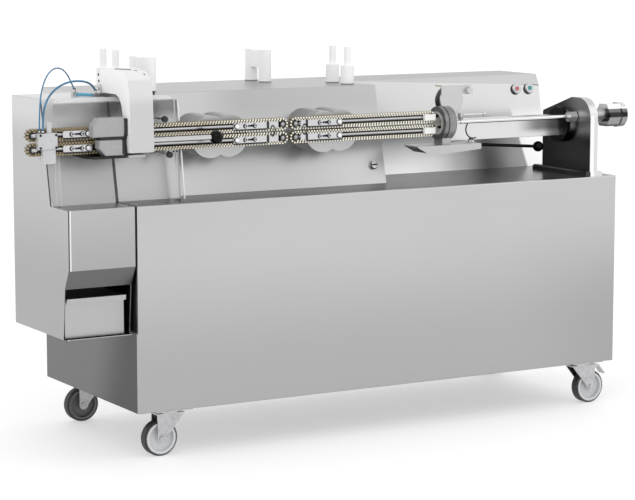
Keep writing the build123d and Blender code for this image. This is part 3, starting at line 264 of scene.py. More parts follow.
# Cabinet
# Folded stainless sheet on a welded tube frame, ground with a fine grain along its length.
# The front is one large pan; its folded edges catch the light as thin bright lines.
def steel_sheet(name, tone, roughness, grain, cloud=0.05):
    """Ground sheet: hair-fine streaks, and broad soft clouds where it was polished by hand."""
    sheet = Finish(name, (tone, tone, tone * 1.006), roughness, 1.0)
    streaks = sheet.noise(*grain, detail=3.0)
    sheet.blend(sheet.noise(1.1, 1.1, 1.6).rise(0.3, 0.75), (tone * (1 - cloud),) * 3)
    sheet.blend(streaks.rise(0.35, 0.75) * 0.5, (tone * 1.06,) * 3)
    sheet.rough(streaks * 0.12 + (roughness - 0.06))
    sheet.bump(streaks, 0.0003, 0.25)
    return sheet


along_x = (2.0, 500.0, 500.0)
along_y = (500.0, 2.0, 500.0)
front_steel = steel_sheet("front_steel", 0.52, 0.34, along_x)
# Painted shade: the front pan darkens towards the bottom, and more towards the lower right.
front_at = front_steel.place()
front_steel.blend(front_at.z.rise(0.75, 0.3) * 0.8, (0.385, 0.385, 0.39))
front_steel.blend(front_at.x.rise(0.6, 1.2) * front_at.z.rise(0.85, 0.3) * 0.55, (0.33, 0.33, 0.335))
cover("front_panel", front_steel)
# The side and back panels are a dark copy of the same sheet as painted shade, lighter towards the back and
# top as painted light.
side_steel = steel_sheet("side_steel", 0.070, 0.36, along_y)
side_at = side_steel.place()
side_slant = side_at.y + side_at.z * 0.35
side_steel.blend(side_slant.rise(-0.20, 0.10) * 0.9, 0.165)
cover("cabinet_panels", side_steel)
tube_steel = steel_sheet("tube_steel", 0.35, 0.4, along_x)
cover("base_frame", tube_steel)

# Deck
# A thick sheet let in behind the front pan; its dark tone, darker still right of the middle and lighter at
# the far right, is painted reflection of the shade under the housings.
deck_steel = steel_sheet("deck_steel", 0.034, 0.25, along_x)
deck_at = deck_steel.place()
deck_steel.blend(deck_at.x.rise(-0.2, 0.3) * 0.9, 0.025)
deck_steel.blend(deck_at.x.rise(0.75, 0.95) * 0.9, 0.12)
deck_steel.shader.inputs["Metallic"].default_value = 0.6
deck_steel.shader.inputs["Specular IOR Level"].default_value = 0.1
cover("deck_plate", deck_steel)

# Casters
# Pressed stainless forks round grey plastic discs with thin black rubber tyres; the rear discs
# are painted darker as painted shade, since they stand in the cabinet's shade.
fork_steel = Finish("fork_steel", (0.50, 0.50, 0.51), 0.26, 1.0)
fork_steel.wear((60, 60, 60), 0.6, (0.36, 0.36, 0.37), 0.2, 0.16, 0.4, 0.7)
disc_grey = Finish("disc_grey", (0.60, 0.61, 0.62), 0.42)
disc_grain = disc_grey.noise(700, 700, 700)
disc_grey.mottle(12, 0.6, (0.54, 0.55, 0.56), 0.4, 0.7)
disc_grey.bump(disc_grain, 0.0003, 0.2)
tyre_black = Finish("tyre_black", (0.018, 0.018, 0.019), 0.55)
tyre_black.mottle(40, 0.7, (0.035, 0.034, 0.033), 0.4, 0.8)
tyre_black.bump(tyre_black.noise(500, 90, 500), 0.0004, 0.3)
shaded_disc_grey = Finish("shaded_disc_grey", (0.12, 0.12, 0.122), 0.42)
shaded_disc_grey.mottle(12, 0.6, (0.17, 0.17, 0.172), 0.4, 0.7)
tyre_from = 0.0545
for node in ("caster_plates", "brake_pedal"):
    cover(node, fork_steel)
for corner in ("front_left", "front_right", "rear_left", "rear_right"):
    cover("caster_fork_" + corner, fork_steel)
    disc = shaded_disc_grey if corner.startswith("rear") else disc_grey
    wheel = cover("caster_wheel_" + corner, disc, tyre_black)
    wheel_low, wheel_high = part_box("caster_wheel_" + corner)
    hub = (wheel_low + wheel_high) / 2
    for face in wheel.polygons:
        reach = math.hypot(face.center.x - hub.x, face.center.z - hub.z)
        face.material_index = 1 if reach > tyre_from else 0

# Housings
# The stepped cover over the drives, folded from the same ground sheet as the cabinet.
# The control housing faces the lamps and is the brightest; shade from the brake head is painted on it.
housing_steel = steel_sheet("housing_steel", 0.58, 0.32, along_x)
wall_at = housing_steel.place()
# Painted shade and light: the sloped face darkens right of the middle, more so near its top, and lightens
# again low on the right; the roof is painted darker as painted shade.
housing_steel.blend(wall_at.x.rise(-0.7, -0.3) * 0.9, (0.48, 0.48, 0.485))
housing_steel.blend(wall_at.x.rise(-0.5, -0.3) * wall_at.z.rise(1.10, 1.18) * 0.7, (0.40, 0.40, 0.405))
housing_steel.blend(wall_at.x.rise(-0.2, 0.25) * wall_at.z.rise(1.15, 1.0) * 0.8, (0.60, 0.60, 0.605))
housing_steel.blend(wall_at.z.rise(1.2288, 1.2294), (0.37, 0.37, 0.375))
cover("main_housing", housing_steel)
control_steel = steel_sheet("control_steel", 0.585, 0.34, along_x)
control_at = control_steel.place()
# Painted shade and light on the sloped face: shade under the brake arm and under the belts, brighter patches
# near the deck on the left and right as painted light, the roof darker as painted shade, and a painted shade
# line along the crease.
on_face = control_at.y.rise(0.16, 0.13)
under_arm = control_at.z.rise(1.12, 1.03) * on_face
near_deck = control_at.z.rise(1.02, 0.91) * on_face
lit_left = near_deck * control_at.x.rise(0.86, 0.74)
patch_edge = control_at.x - (0.973 - control_at.z) * 0.2555
lit_right = patch_edge.rise(1.010, 1.024)
control_steel.blend(under_arm * (1.0 - lit_left.most(lit_right)) * 0.85, 0.24)
control_steel.blend(under_arm * lit_right, 0.80)
control_steel.blend(under_arm * lit_left, 0.95)
under_belts = control_at.z.rise(1.12, 1.05) * control_at.z.rise(0.98, 1.06) * control_at.x.rise(0.62, 0.40)
control_steel.blend(under_belts * 0.7, 0.12)
control_steel.blend(control_at.z.rise(1.2288, 1.2294), (0.33, 0.33, 0.335))
crease = abs(control_at.z - 1.1889 + (control_at.x - 1.1025) * 0.081)
control_steel.blend(crease.rise(0.0022, 0.0012) * control_at.x.rise(0.80, 0.83), 0.10)
# The upturned facet of the crease takes brow_steel, a darker copy of the sheet as painted shade.
brow_steel = steel_sheet("brow_steel", 0.43, 0.34, along_x)
control = cover("control_housing", control_steel, brow_steel)
for face in control.polygons:
    face.material_index = 1 if face.normal.z > 0.3 and face.normal.y < -0.5 else 0

# Extension box
# A separate welded box bolted to the cabinet's left end over a black sponge gasket.
# Its mouth is open for the drawer, and the inside is painted near black as painted shade.
extension_steel = steel_sheet("extension_steel", 0.50, 0.34, along_y)
box_at = extension_steel.place()
# Painted shade and light: the sheet darkens towards the bottom and lightens along its rounded top as a
# painted highlight; a painted shade line runs along the left fold with a painted highlight beside it at the
# foot, and faces turned down to the front take shade_steel, a painted shade.
extension_steel.blend(box_at.z.rise(1.0, 0.6) * 0.85, (0.36, 0.36, 0.365))
extension_steel.blend(box_at.z.rise(1.08, 1.20) * 0.9, 0.66)
box_low, box_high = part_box("extension_shell")
fold_line = abs(box_at.x - box_low.x - 0.0032).rise(0.0024, 0.0016)
fold_light = abs(box_at.x - box_low.x - 0.0085).rise(0.0030, 0.0020) * box_at.z.rise(0.890, 0.875)
extension_steel.blend(fold_line, 0.06)
extension_steel.blend(fold_light * 0.9, 0.85)
sponge_black = Finish("sponge_black", 0.012, 0.9)
sponge_pores = sponge_black.noise(900, 900, 900, 3.0)
sponge_black.blend(sponge_pores.rise(0.5, 0.8) * 0.5, 0.03)
sponge_black.bump(sponge_pores, 0.0005, 0.4)
shade_steel = steel_sheet("shade_steel", 0.17, 0.40, along_x)
dark_inside = Finish("dark_inside", 0.004, 0.8, specular_ior_level=0.0)
dark_inside.mottle(8, 0.6, 0.007, 0.4, 0.8)
extension = cover("extension_shell", extension_steel, sponge_black, dark_inside, shade_steel)
box_middle = (box_low + box_high) / 2
gasket_from = box_high.x - 0.0081
for face in extension.polygons:
    if face.center.x > gasket_from:
        face.material_index = 1
    elif face.normal.dot(face.center - box_middle) < 0 and face.center.x < gasket_from - 0.001:
        face.material_index = 2
    elif face.normal.y < -0.7 and -0.6 < face.normal.z < -0.3:
        face.material_index = 3
    else:
        face.material_index = 0

# Drawer
# A folded sheet tray with a rolled lip for the fingers.
drawer_steel = steel_sheet("drawer_steel", 0.45, 0.34, along_x)
cover("drawer", drawer_steel)

# Conveyor rails, tension blocks and centre plates
# Drawn stainless bars with milled plates clamped on them, held by socket screws in slots.
# Black blocks at the plate ends in the middle of the line are painted shade of the gaps there, where two
# oval wire clips sit.
bar_steel = Finish("bar_steel", (0.56, 0.56, 0.575), 0.16, 1.0)
bar_steel.wear((3, 700, 700), 0.5, (0.46, 0.46, 0.475), 0.12, 0.10, 0.35, 0.7)
plate_steel = Finish("plate_steel", (0.62, 0.62, 0.635), 0.28, 1.0)
plate_steel.wear((180, 180, 900), 0.5, (0.50, 0.50, 0.515), 0.2, 0.18)
slot_dark = Finish("slot_dark", (0.02, 0.02, 0.022), 0.5, 0.6)
slot_dark.mottle(200, 0.6, (0.05, 0.05, 0.052), 0.4, 0.8)
cover("tension_blocks", plate_steel)
line_z = 1.096
line_y = -0.288
rail_rise = 0.024
plate_front = line_y - 0.016
plate_half = 0.011
screw_front = plate_front - 0.005
slot_reach = 0.019
block_spans = ((-1.0965, -0.9925), (-0.4565, -0.3245), (-0.1625, -0.0225))
clamp_screws = (-1.0060, -0.4450, -0.0340)
gap_shade_spans = ((-0.3245, -0.3185), (-0.1685, -0.1625))
rubber_and_shade_black = Finish("rubber_and_shade_black", 0.010, 0.5)
rubber_and_shade_black.mottle(90, 0.6, 0.022, 0.4, 0.8)
# Painted reflection: each rail's lower half and a thin line near its top are darker, standing in for the
# reflections along the bars.
rail_at = bar_steel.place()
for level in (-1, 1):
    rail_middle = line_z + level * rail_rise
    rail_off = rail_at.z - rail_middle
    lower_half = rail_off.rise(-0.0005, -0.0020) * rail_off.rise(-0.0100, -0.0085)
    top_line = rail_off.rise(0.0060, 0.0070) * rail_off.rise(0.0100, 0.0090)
    bar_steel.blend((lower_half + top_line) * 0.85, 0.10)
cover("conveyor_rails", bar_steel)


upright = Matrix.Rotation(math.pi / 2, 4, "X")


def add_block(mesh, low, high, edge=0.0, segments=2):
    """A box between two corners with its edges rounded, added to a mesh."""
    low, high = Vector(low), Vector(high)
    made = bmesh.ops.create_cube(mesh, size=1.0)
    place = Matrix.Translation((low + high) / 2) @ Matrix.Diagonal((*(high - low), 1))
    bmesh.ops.transform(mesh, matrix=place, verts=made["verts"])
    if edge:
        edges = {e for v in made["verts"] for e in v.link_edges}
        bmesh.ops.bevel(
            mesh,
            geom=list(edges),
            offset=edge,
            affect="EDGES",
            segments=segments,
            profile=0.5,
            material=-1,
        )


def add_disc(mesh, centre, axis, radius, length, edge=0.0, top=None, sides=32):
    """A round bar or cone centred on a point along an axis, with its rims rounded."""
    turn = Vector((0, 0, 1)).rotation_difference(Vector(axis)).to_matrix().to_4x4()
    made = bmesh.ops.create_cone(
        mesh,
        cap_ends=True,
        segments=sides,
        radius1=radius,
        radius2=radius if top is None else top,
        depth=length,
        matrix=Matrix.Translation(centre) @ turn,
    )
    if edge:
        rims = {e for v in made["verts"] for e in v.link_edges}
        rims = [e for e in rims if any(len(f.verts) > 4 for f in e.link_faces)]
        bmesh.ops.bevel(
            mesh,
            geom=rims,
            offset=edge,
            affect="EDGES",
            segments=2,
            profile=0.5,
            material=-1,
        )
    return made["verts"]


def add_loop(mesh, radius, wire, angle=2 * math.pi, steps=32, sides=8):
    """A round wire bent to a circle, or a part of one, about Z at the origin."""
    before = set(mesh.verts)
    section = bmesh.ops.create_circle(
        mesh,
        segments=sides,
        radius=wire,
        matrix=Matrix.Translation((radius, 0, 0)) @ upright,
    )
    bmesh.ops.spin(
        mesh,
        geom=section["verts"] + list({e for v in section["verts"] for e in v.link_edges}),
        cent=(0, 0, 0),
        axis=(0, 0, 1),
        angle=angle,
        steps=steps,
        use_merge=angle > 6.28,
    )
    bmesh.ops.holes_fill(mesh, edges=[e for e in mesh.edges if e.is_boundary])
    bmesh.ops.recalc_face_normals(mesh, faces=mesh.faces[:])
    return [v for v in mesh.verts if v not in before]


def show(mesh, name, body, slot, *finishes, smooth=True):
    """Makes a finished mesh a piece of the machine."""
    data = bpy.data.meshes.new(name)
    mesh.to_mesh(data)
    mesh.free()
    for finish in finishes:
        data.materials.append(finish.material)
    piece = bpy.data.objects.new(name, data)
    bpy.context.scene.collection.objects.link(piece)
    if smooth:
        for face in data.polygons:
            face.use_smooth = True
        data.set_sharp_from_angle(angle=math.radians(32))
    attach(piece, body)
    return piece


# Painted shade: black blocks at the plate ends towards the middle and black strips under each tension plate
# stand in for the shaded gaps there.
gap_shade = bmesh.new()
sockets = bmesh.new()
slot_floors = bmesh.new()
for level in (-1, 1):
    middle_z = line_z + level * rail_rise
    for low_x, high_x in gap_shade_spans:
        add_block(
            gap_shade,
            (low_x, plate_front - 0.004, middle_z - 0.0125),
            (high_x, line_y - 0.010, middle_z + 0.0125),
            0.0008,
        )
    for low_x, high_x in block_spans:
        add_block(
            gap_shade,
            (low_x + 0.002, plate_front - 0.0008, middle_z - plate_half - 0.0052),
            (high_x - 0.001, line_y - 0.011, middle_z - plate_half - 0.0001),
        )
        # Painted shade: a dark floor in each slot, a dark hex socket in each screw, and a dark ring set to
        # the left behind each screw head.
        slot_x = (low_x + high_x) / 2
        add_block(
            slot_floors,
            (slot_x - slot_reach * 0.5, plate_front + 0.0045, middle_z - 0.0022),
            (slot_x + slot_reach * 0.5, plate_front + 0.0055, middle_z + 0.0022),
        )
        for side in (-1, 1):
            add_disc(
                sockets,
                (slot_x + side * slot_reach, screw_front - 0.0002, middle_z),
                (0, -1, 0),
                0.0034,
                0.0014,
                sides=6,
            )
            add_disc(
                sockets,
                (slot_x + side * slot_reach - 0.0016, plate_front - 0.0005, middle_z - 0.0004),
                (0, -1, 0),
                0.0084,
                0.0010,
            )
# Painted shade: a dark ring behind each clamp screw head.
clamps = bmesh.new()
clamp_rims = bmesh.new()
clamp_bright = Finish("clamp_bright", 0.86, 0.25, 0.5)
clamp_bright.mottle(90, 0.5, 0.72, 0.35, 0.75)
for level in (-1, 1):
    for clamp_x in clamp_screws:
        clamp_at = (clamp_x, plate_front - 0.0035, line_z + level * rail_rise)
        add_disc(clamps, clamp_at, (0, -1, 0), 0.0080, 0.0070, 0.0022)
        add_disc(clamp_rims, (clamp_x, plate_front - 0.0006, clamp_at[2]), (0, -1, 0), 0.0104, 0.0012)
show(clamps, "plate_clamp_screws", "machine", "stainless", clamp_bright)
show(clamp_rims, "plate_clamp_rims", "machine", "stainless", slot_dark)
show(gap_shade, "plate_gap_shade", "machine", "black_plastic", rubber_and_shade_black)
clips = bmesh.new()
for clip_x in (-0.3027, -0.1746):
    clip_loop = add_loop(clips, 0.0085, 0.0012)
    stand = Matrix.Translation((clip_x, plate_front - 0.0012, 1.0990)) @ upright
    stretch = Matrix.Diagonal((1, 2.1, 1, 1))
    bmesh.ops.transform(clips, matrix=stand @ stretch, verts=clip_loop)
show(clips, "belt_clips", "machine", "stainless", slot_dark)
show(slot_floors, "plate_slot_floors", "machine", "stainless", slot_dark)
show(sockets, "screw_sockets", "machine", "stainless", slot_dark)

# Gasket
# A strip of black sponge rubber in the joint between the extension box and section A.
# It is pressed between the two sloped sheets and bulges out a little in front of them.
gasket = bmesh.new()
gasket_foot = (-0.246, 0.876)
gasket_brow = (-0.173, 1.2295)
gasket_slope = (gasket_brow[0] - gasket_foot[0]) / (gasket_brow[1] - gasket_foot[1])
bmesh.ops.create_cube(gasket, size=1.0)
gasket_middle = (gasket_foot[1] + gasket_brow[1]) / 2
gasket_place = Matrix.Translation((-0.87475, gasket_foot[0] + 0.0043, gasket_middle))
gasket_size = Matrix.Diagonal((0.0105, 0.0096, gasket_brow[1] - gasket_foot[1], 1))
bmesh.ops.transform(gasket, matrix=gasket_place @ gasket_size, verts=gasket.verts[:])
for vert in gasket.verts:
    vert.co.y += (vert.co.z - gasket_foot[1]) * gasket_slope
show(gasket, "extension_gasket", "machine", "black_plastic", rubber_and_shade_black, smooth=False)

# Toothed belts
# Four endless belts of cream polyurethane, each a band with a round tooth every 11 mm; the band is dark
# brown, its own brown darkened as painted shade between the teeth.
# Smaller teeth inside it run on the pulleys; the belts turn brown towards their left ends.
belt_cream = Finish("belt_cream", (0.88, 0.85, 0.74), 0.34)
belt_at = belt_cream.place()
belt_cream.mottle(60, 0.5, (0.66, 0.58, 0.38), 0.45, 0.8)
belt_cream.blend(belt_at.x.rise(-0.40, -0.60) * 0.4, (0.60, 0.50, 0.30))
belt_cream.blend(belt_at.x.rise(-0.85, -1.0) * 0.85, (0.26, 0.18, 0.07))
band_brown = Finish("band_brown", (0.045, 0.038, 0.028), 0.6)
band_brown.mottle(120, 0.7, (0.09, 0.075, 0.05))
band_at = band_brown.place()
band_brown.blend(band_at.x.rise(-0.05, 0.02) * 0.6, (0.22, 0.21, 0.18))
# Painted shade: the teeth's sides are darker than their cream ends.
tooth_side = Finish("tooth_side", (0.20, 0.17, 0.11), 0.5)
tooth_side.mottle(90, 0.6, (0.28, 0.24, 0.16))
side_at = tooth_side.place()
tooth_side.blend(side_at.x.rise(-0.1, 0.1) * 0.7, (0.42, 0.41, 0.36))
belt_width = 0.026
band_inner = 0.012
band_outer = 0.016
tooth_pitch = 0.011
belt_ends = ((-1.2035, -0.2615), (-0.2095, 0.3535))


def loop_point(span, radius, along):
    """Where a tooth sits on a loop round two centres, and the direction it points in."""
    arc = math.pi * radius
    along %= 2 * (span + arc)
    if along < span:
        return along, radius, math.pi / 2
    if along < span + arc:
        turn = math.pi / 2 - (along - span) / radius
        return span + radius * math.cos(turn), radius * math.sin(turn), turn
    if along < 2 * span + arc:
        return 2 * span + arc - along, -radius, -math.pi / 2
    turn = -math.pi / 2 - (along - 2 * span - arc) / radius
    return radius * math.cos(turn), radius * math.sin(turn), turn


def add_teeth(mesh, start_x, span, z, radius, size, shift, on_pulleys):
    """Half-round teeth all round a loop; the inner ones are left out where they are in a pulley."""
    count = round(2 * (span + math.pi * radius) / tooth_pitch)
    pitch = 2 * (span + math.pi * radius) / count
    for i in range(count):
        x, rise, turn = loop_point(span, radius, (i + shift) * pitch)
        if not on_pulleys and not 0.004 < x < span - 0.004:
            continue
        add_disc(mesh, (start_x + x, line_y, z + rise), (0, 1, 0), size, belt_width + 0.0008, sides=10)


for side_name, (start_x, end_x) in zip(("left", "right"), belt_ends):
    for level_name, level in (("lower", -1), ("upper", 1)):
        span = end_x - start_x
        middle_z = line_z + level * rail_rise
        band = bmesh.new()
        for radius in (band_inner, band_outer):
            ring = bmesh.ops.create_circle(
                band,
                segments=40,
                radius=radius,
                matrix=upright @ Matrix.Rotation(math.pi / 40, 4, "Z"),
            )
            far_half = [v for v in ring["verts"] if v.co.x > 0]
            bmesh.ops.translate(band, vec=(span, 0, 0), verts=far_half)
        bmesh.ops.bridge_loops(band, edges=band.edges[:])
        side_faces = bmesh.ops.extrude_face_region(band, geom=band.faces[:])["geom"]
        new_rim = [v for v in side_faces if isinstance(v, bmesh.types.BMVert)]
        bmesh.ops.translate(band, vec=(0, belt_width, 0), verts=new_rim)
        bmesh.ops.translate(band, vec=(start_x, line_y - belt_width / 2, middle_z), verts=band.verts[:])
        bmesh.ops.recalc_face_normals(band, faces=band.faces[:])
        band_faces = len(band.faces)
        add_teeth(band, start_x, span, middle_z, 0.0186, 0.0034, 0.0, True)
        add_teeth(band, start_x, span, middle_z, 0.0126, 0.0030, 0.5, False)
        band.faces.ensure_lookup_table()
        for i, face in enumerate(band.faces):
            face.normal_update()
            face.material_index = 1 if i < band_faces else 0 if abs(face.normal.y) > 0.9 else 2
        name = "toothed_belt_" + level_name + "_" + side_name
        belt = show(band, name, "machine", "belt", belt_cream, band_brown, tooth_side)
        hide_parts("toothed_belts")

# Pulleys
# Black moulded pulleys with a raised ring at the front; the steel pin of the rail shows inside it.
# At the middle of the line a light oval mark is cut into the centre plates.
pulley_black = Finish("pulley_black", 0.006, 0.4)
pulley_black.mottle(300, 0.7, 0.014)
pulley_grey = Finish("pulley_grey", (0.42, 0.42, 0.43), 0.35, 0.7)
pulley_grey.mottle(400, 0.6, (0.30, 0.30, 0.31))
for level_name in ("upper", "lower"):
    for side_name in ("left", "right"):
        for end_name in ("a", "b"):
            node = "pulley_" + level_name + "_" + side_name + "_" + end_name
            pulley = cover(node, pulley_black, pulley_grey)
            pulley_low, pulley_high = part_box(node)
            axis = (pulley_low + pulley_high) / 2
            for face in pulley.polygons:
                reach = math.hypot(face.center.x - axis.x, face.center.z - axis.z)
                sunk = face.center.y < pulley_low.y + 0.004 and reach < 0.0074
                face.material_index = 1 if sunk else 0
marks = bmesh.new()
mark_width = 0.012
mark_height = 0.021
for mark_x in (-0.2995, -0.1975):
    mark = add_loop(marks, mark_height, 0.0006, steps=36, sides=6)
    stand = Matrix.Translation((mark_x, plate_front - 0.0004, line_z)) @ upright
    shape = Matrix.Diagonal((mark_width / mark_height, 1, 1, 1))
    bmesh.ops.transform(marks, matrix=stand @ shape, verts=mark)
show(marks, "centre_plate_marks", "machine", "stainless", pulley_grey)

# Supports
# Cast and blasted aluminium fairings with round lobes, welded to the housing behind the belts.
cast_satin = Finish("cast_satin", (0.50, 0.50, 0.505), 0.42, 1.0)
lobe_shade = Finish("lobe_shade", 0.30, 0.5, 0.8)
lobe_shade.mottle(40, 0.6, 0.40, 0.35, 0.75)
cast_grain = cast_satin.noise(350, 350, 350, 3.0)
cast_satin.mottle(9, 0.6, (0.50, 0.50, 0.51), 0.35, 0.75)
cast_satin.blend(cast_grain.rise(0.5, 0.8) * 0.3, (0.64, 0.64, 0.65))
cast_satin.bump(cast_grain, 0.0004, 0.25)
boss = cover("support_bosses", cast_satin, lobe_shade)
for face in boss.polygons:
    face.material_index = 1 if face.normal.x < -0.25 or (face.normal.z < -0.4 and face.normal.x < 0.2) else 0

# Nose blocks
# White plastic guides screwed to the right ends of the conveyor rails.
guide_white = Finish("guide_white", (0.80, 0.80, 0.79), 0.42)
guide_grain = guide_white.noise(500, 500, 500)
guide_white.blend(guide_grain.rise(0.4, 0.75) * 0.4, (0.70, 0.70, 0.68))
guide_white.bump(guide_grain, 0.0003, 0.3)
cover("nose_blocks", guide_white)

# End block and hose fittings
# A machined white plastic block across the belt ends, held by dark screws, with its grey foot.
# Push-in fittings with black collars take the hoses, and a pale blue tube links the two on the roof.
block_white = Finish("block_white", (0.50, 0.505, 0.515), 0.40)
block_grain = block_white.noise(450, 450, 450)
block_white.mottle(30, 0.5, (0.44, 0.445, 0.455))
block_white.bump(block_grain, 0.0003, 0.25)
cover("end_block", block_white)
fitting_steel = Finish("fitting_steel", (0.60, 0.60, 0.61), 0.20, 1.0)
fitting_steel.wear((150, 150, 600), 0.6, (0.42, 0.42, 0.43), 0.2, 0.12)
link_blue = Finish("link_blue", (0.06, 0.34, 0.52), 0.3, coat_weight=0.3)
link_blue.mottle(60, 0.5, (0.10, 0.42, 0.60))
fittings = cover("hose_fittings", fitting_steel, link_blue)
link_left = -0.949
link_right = -0.919
for face in fittings.polygons:
    face.material_index = 1 if link_left < face.center.x < link_right else 0
screw_and_shadow_black = Finish("screw_and_shadow_black", (0.012, 0.012, 0.013), 0.4, 0.4)
screw_and_shadow_black.mottle(400, 0.6, (0.03, 0.03, 0.031))
block_left = -1.1925
block_right = -1.1245
block_front = -0.326
block_low = 1.074
block_high = 1.128
collars = bmesh.new()
for collar_x, collar_y in ((-1.1745, -0.318), (-1.1825, -0.3075)):
    add_disc(collars, (collar_x, collar_y, block_high + 0.0105), (0, 0, 1), 0.0058, 0.003, 0.0006)
    add_disc(collars, (collar_x, collar_y, block_high + 0.0015), (0, 0, 1), 0.0062, 0.003, 0.0005)
add_disc(collars, (-0.9125, -0.161, 1.2530), (0, 0, 1), 0.0058, 0.003, 0.0006)
add_disc(collars, (-0.9585, -0.090, 1.2550), (0, 0, 1), 0.0058, 0.003, 0.0006)
for screw_x, screw_z in (
    (block_left + 0.006, block_low + 0.006),
    (block_left + 0.006, block_high - 0.006),
    (block_right - 0.006, block_high - 0.006),
    (block_right - 0.006, block_low + 0.006),
):
    add_disc(collars, (screw_x, block_front - 0.0008, screw_z), (0, 1, 0), 0.0042, 0.0024, 0.0004)
show(collars, "fitting_collars", "machine", "black_plastic", screw_and_shadow_black)
rail_ends = bmesh.new()
for level in (-1, 1):
    end_z = line_z + level * rail_rise
    add_disc(rail_ends, (block_left - 0.006, -0.302, end_z), (1, 0, 0), 0.0075, 0.013, 0.0012)
    add_disc(rail_ends, (block_left - 0.014, -0.302, end_z), (1, 0, 0), 0.0045, 0.006, 0.0008, sides=6)
show(rail_ends, "end_block_bolts", "machine", "stainless", fitting_steel)

# Separator hood
# A thick moulded arm in white nylon that swings up on a steel pin.
# Short black bars show where its lid meets the shell, and two dark screws hold it on the left.
nylon_white = Finish("nylon_white", (0.62, 0.62, 0.625), 0.36)
nylon_grain = nylon_white.noise(420, 420, 420)
nylon_white.blend(nylon_white.noise(4, 4, 6).rise(0.35, 0.75) * 0.5, (0.57, 0.57, 0.575))
nylon_at = nylon_white.place()
# Painted shade and highlight: the shell darkens below 1.2 m and lightens along its top.
nylon_white.blend(nylon_at.z.rise(1.25, 1.20) * 0.9, (0.50, 0.50, 0.505))
nylon_white.blend(nylon_at.z.rise(1.290, 1.300) * 0.9, (0.72, 0.72, 0.725))
nylon_white.bump(nylon_grain, 0.0003, 0.2)
# nylon_side, a lighter copy for the faces turned to the left, is painted light.
nylon_side = Finish("nylon_side", (0.93, 0.93, 0.935), 0.36)
side_grain = nylon_side.noise(420, 420, 420)
nylon_side.blend(nylon_side.noise(4, 4, 6).rise(0.35, 0.75) * 0.5, (0.87, 0.87, 0.88))
nylon_side.bump(side_grain, 0.0003, 0.2)
hood = cover("hood_shell", nylon_white, nylon_side)
for face in hood.polygons:
    face.material_index = 1 if face.normal.x < -0.7 else 0
cover("hood_bracket", fitting_steel)
hood_left = -0.8805
hood_right = -0.7945
lid_seam = bmesh.new()
for seam_from, seam_to in (
    ((-0.8703, -0.2309, 1.3272), (-0.8287, -0.2688, 1.3245)),
    ((-0.8225, -0.2800, 1.3232), (-0.8190, -0.2960, 1.3220)),
    ((-0.8095, -0.3210, 1.3148), (-0.8061, -0.3303, 1.3102)),
):
    seam_way = Vector(seam_to) - Vector(seam_from)
    seam_at = (Vector(seam_to) + Vector(seam_from)) / 2
    add_disc(lid_seam, seam_at, seam_way, 0.0018, seam_way.length, sides=8)
for screw_y, screw_z in ((-0.119, 1.303), (-0.122, 1.281)):
    add_disc(lid_seam, (hood_left - 0.0006, screw_y, screw_z), (1, 0, 0), 0.0045, 0.0022, 0.0005)
show(lid_seam, "hood_lid_seam", "hood", "black_plastic", screw_and_shadow_black)
hood_screws = bmesh.new()
for screw_y, screw_z in ((-0.143, 1.262), (-0.118, 1.262)):
    add_disc(hood_screws, (hood_right + 0.0068, screw_y, screw_z), (1, 0, 0), 0.0045, 0.003, 0.0006)
add_block(hood_screws, (-0.7125, -0.1720, 1.2302), (-0.6935, -0.1640, 1.2430), 0.001)
show(hood_screws, "hinge_screws", "machine", "stainless", screw_and_shadow_black)

# Hood handle
# A polished steel rod screwed into the hood's leg, with a pressed black phenolic ball.
ball_black = Finish("ball_black", (0.0008, 0.0008, 0.001), 0.06, specular_ior_level=0.14)
ball_black.mottle(35, 0.5, (0.0016, 0.0016, 0.0018))
rod_steel = Finish("rod_steel", (0.58, 0.58, 0.59), 0.14, 1.0)
rod_steel.wear((6, 500, 500), 0.5, (0.44, 0.44, 0.45), 0.1, 0.09)
handle = cover("hood_handle", rod_steel, ball_black)
handle_low, handle_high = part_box("hood_handle")
ball_start = handle_high.x - 0.0485
rod_y = (handle_low.y + handle_high.y) / 2
rod_z = (handle_low.z + handle_high.z) / 2
for face in handle.polygons:
    off_rod = math.hypot(face.center.y - rod_y, face.center.z - rod_z)
    face.material_index = 1 if face.center.x > ball_start and off_rod > 0 else 0

# Grippers and their tray
# Two blocks milled from grey plastic over a steel tray; black blocks in the slits round them are painted
# shade.
gripper_grey = Finish("gripper_grey", (0.335, 0.335, 0.34), 0.5)
gripper_grain = gripper_grey.noise(380, 380, 380)
gripper_grey.mottle(45, 0.5, (0.29, 0.29, 0.295), 0.5, 0.8)
gripper_grey.bump(gripper_grain, 0.0004, 0.3)
cover("upper_jaw", gripper_grey)
cover("lower_jaw", gripper_grey)
# The tray is painted near black as painted shade, and left steel grey right of the hood's leg.
tray_steel = Finish("tray_steel", 0.035, 0.38, 1.0)
tray_steel.blend(tray_steel.noise(4, 300, 4).rise(0.4, 0.75) * 0.6, 0.06)
tray_at = tray_steel.place()
tray_steel.blend(tray_at.x.rise(-0.885, -0.875), (0.46, 0.46, 0.465))
cover("jaw_tray", tray_steel)
upper_low, upper_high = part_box("upper_jaw")
lower_low, lower_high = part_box("lower_jaw")
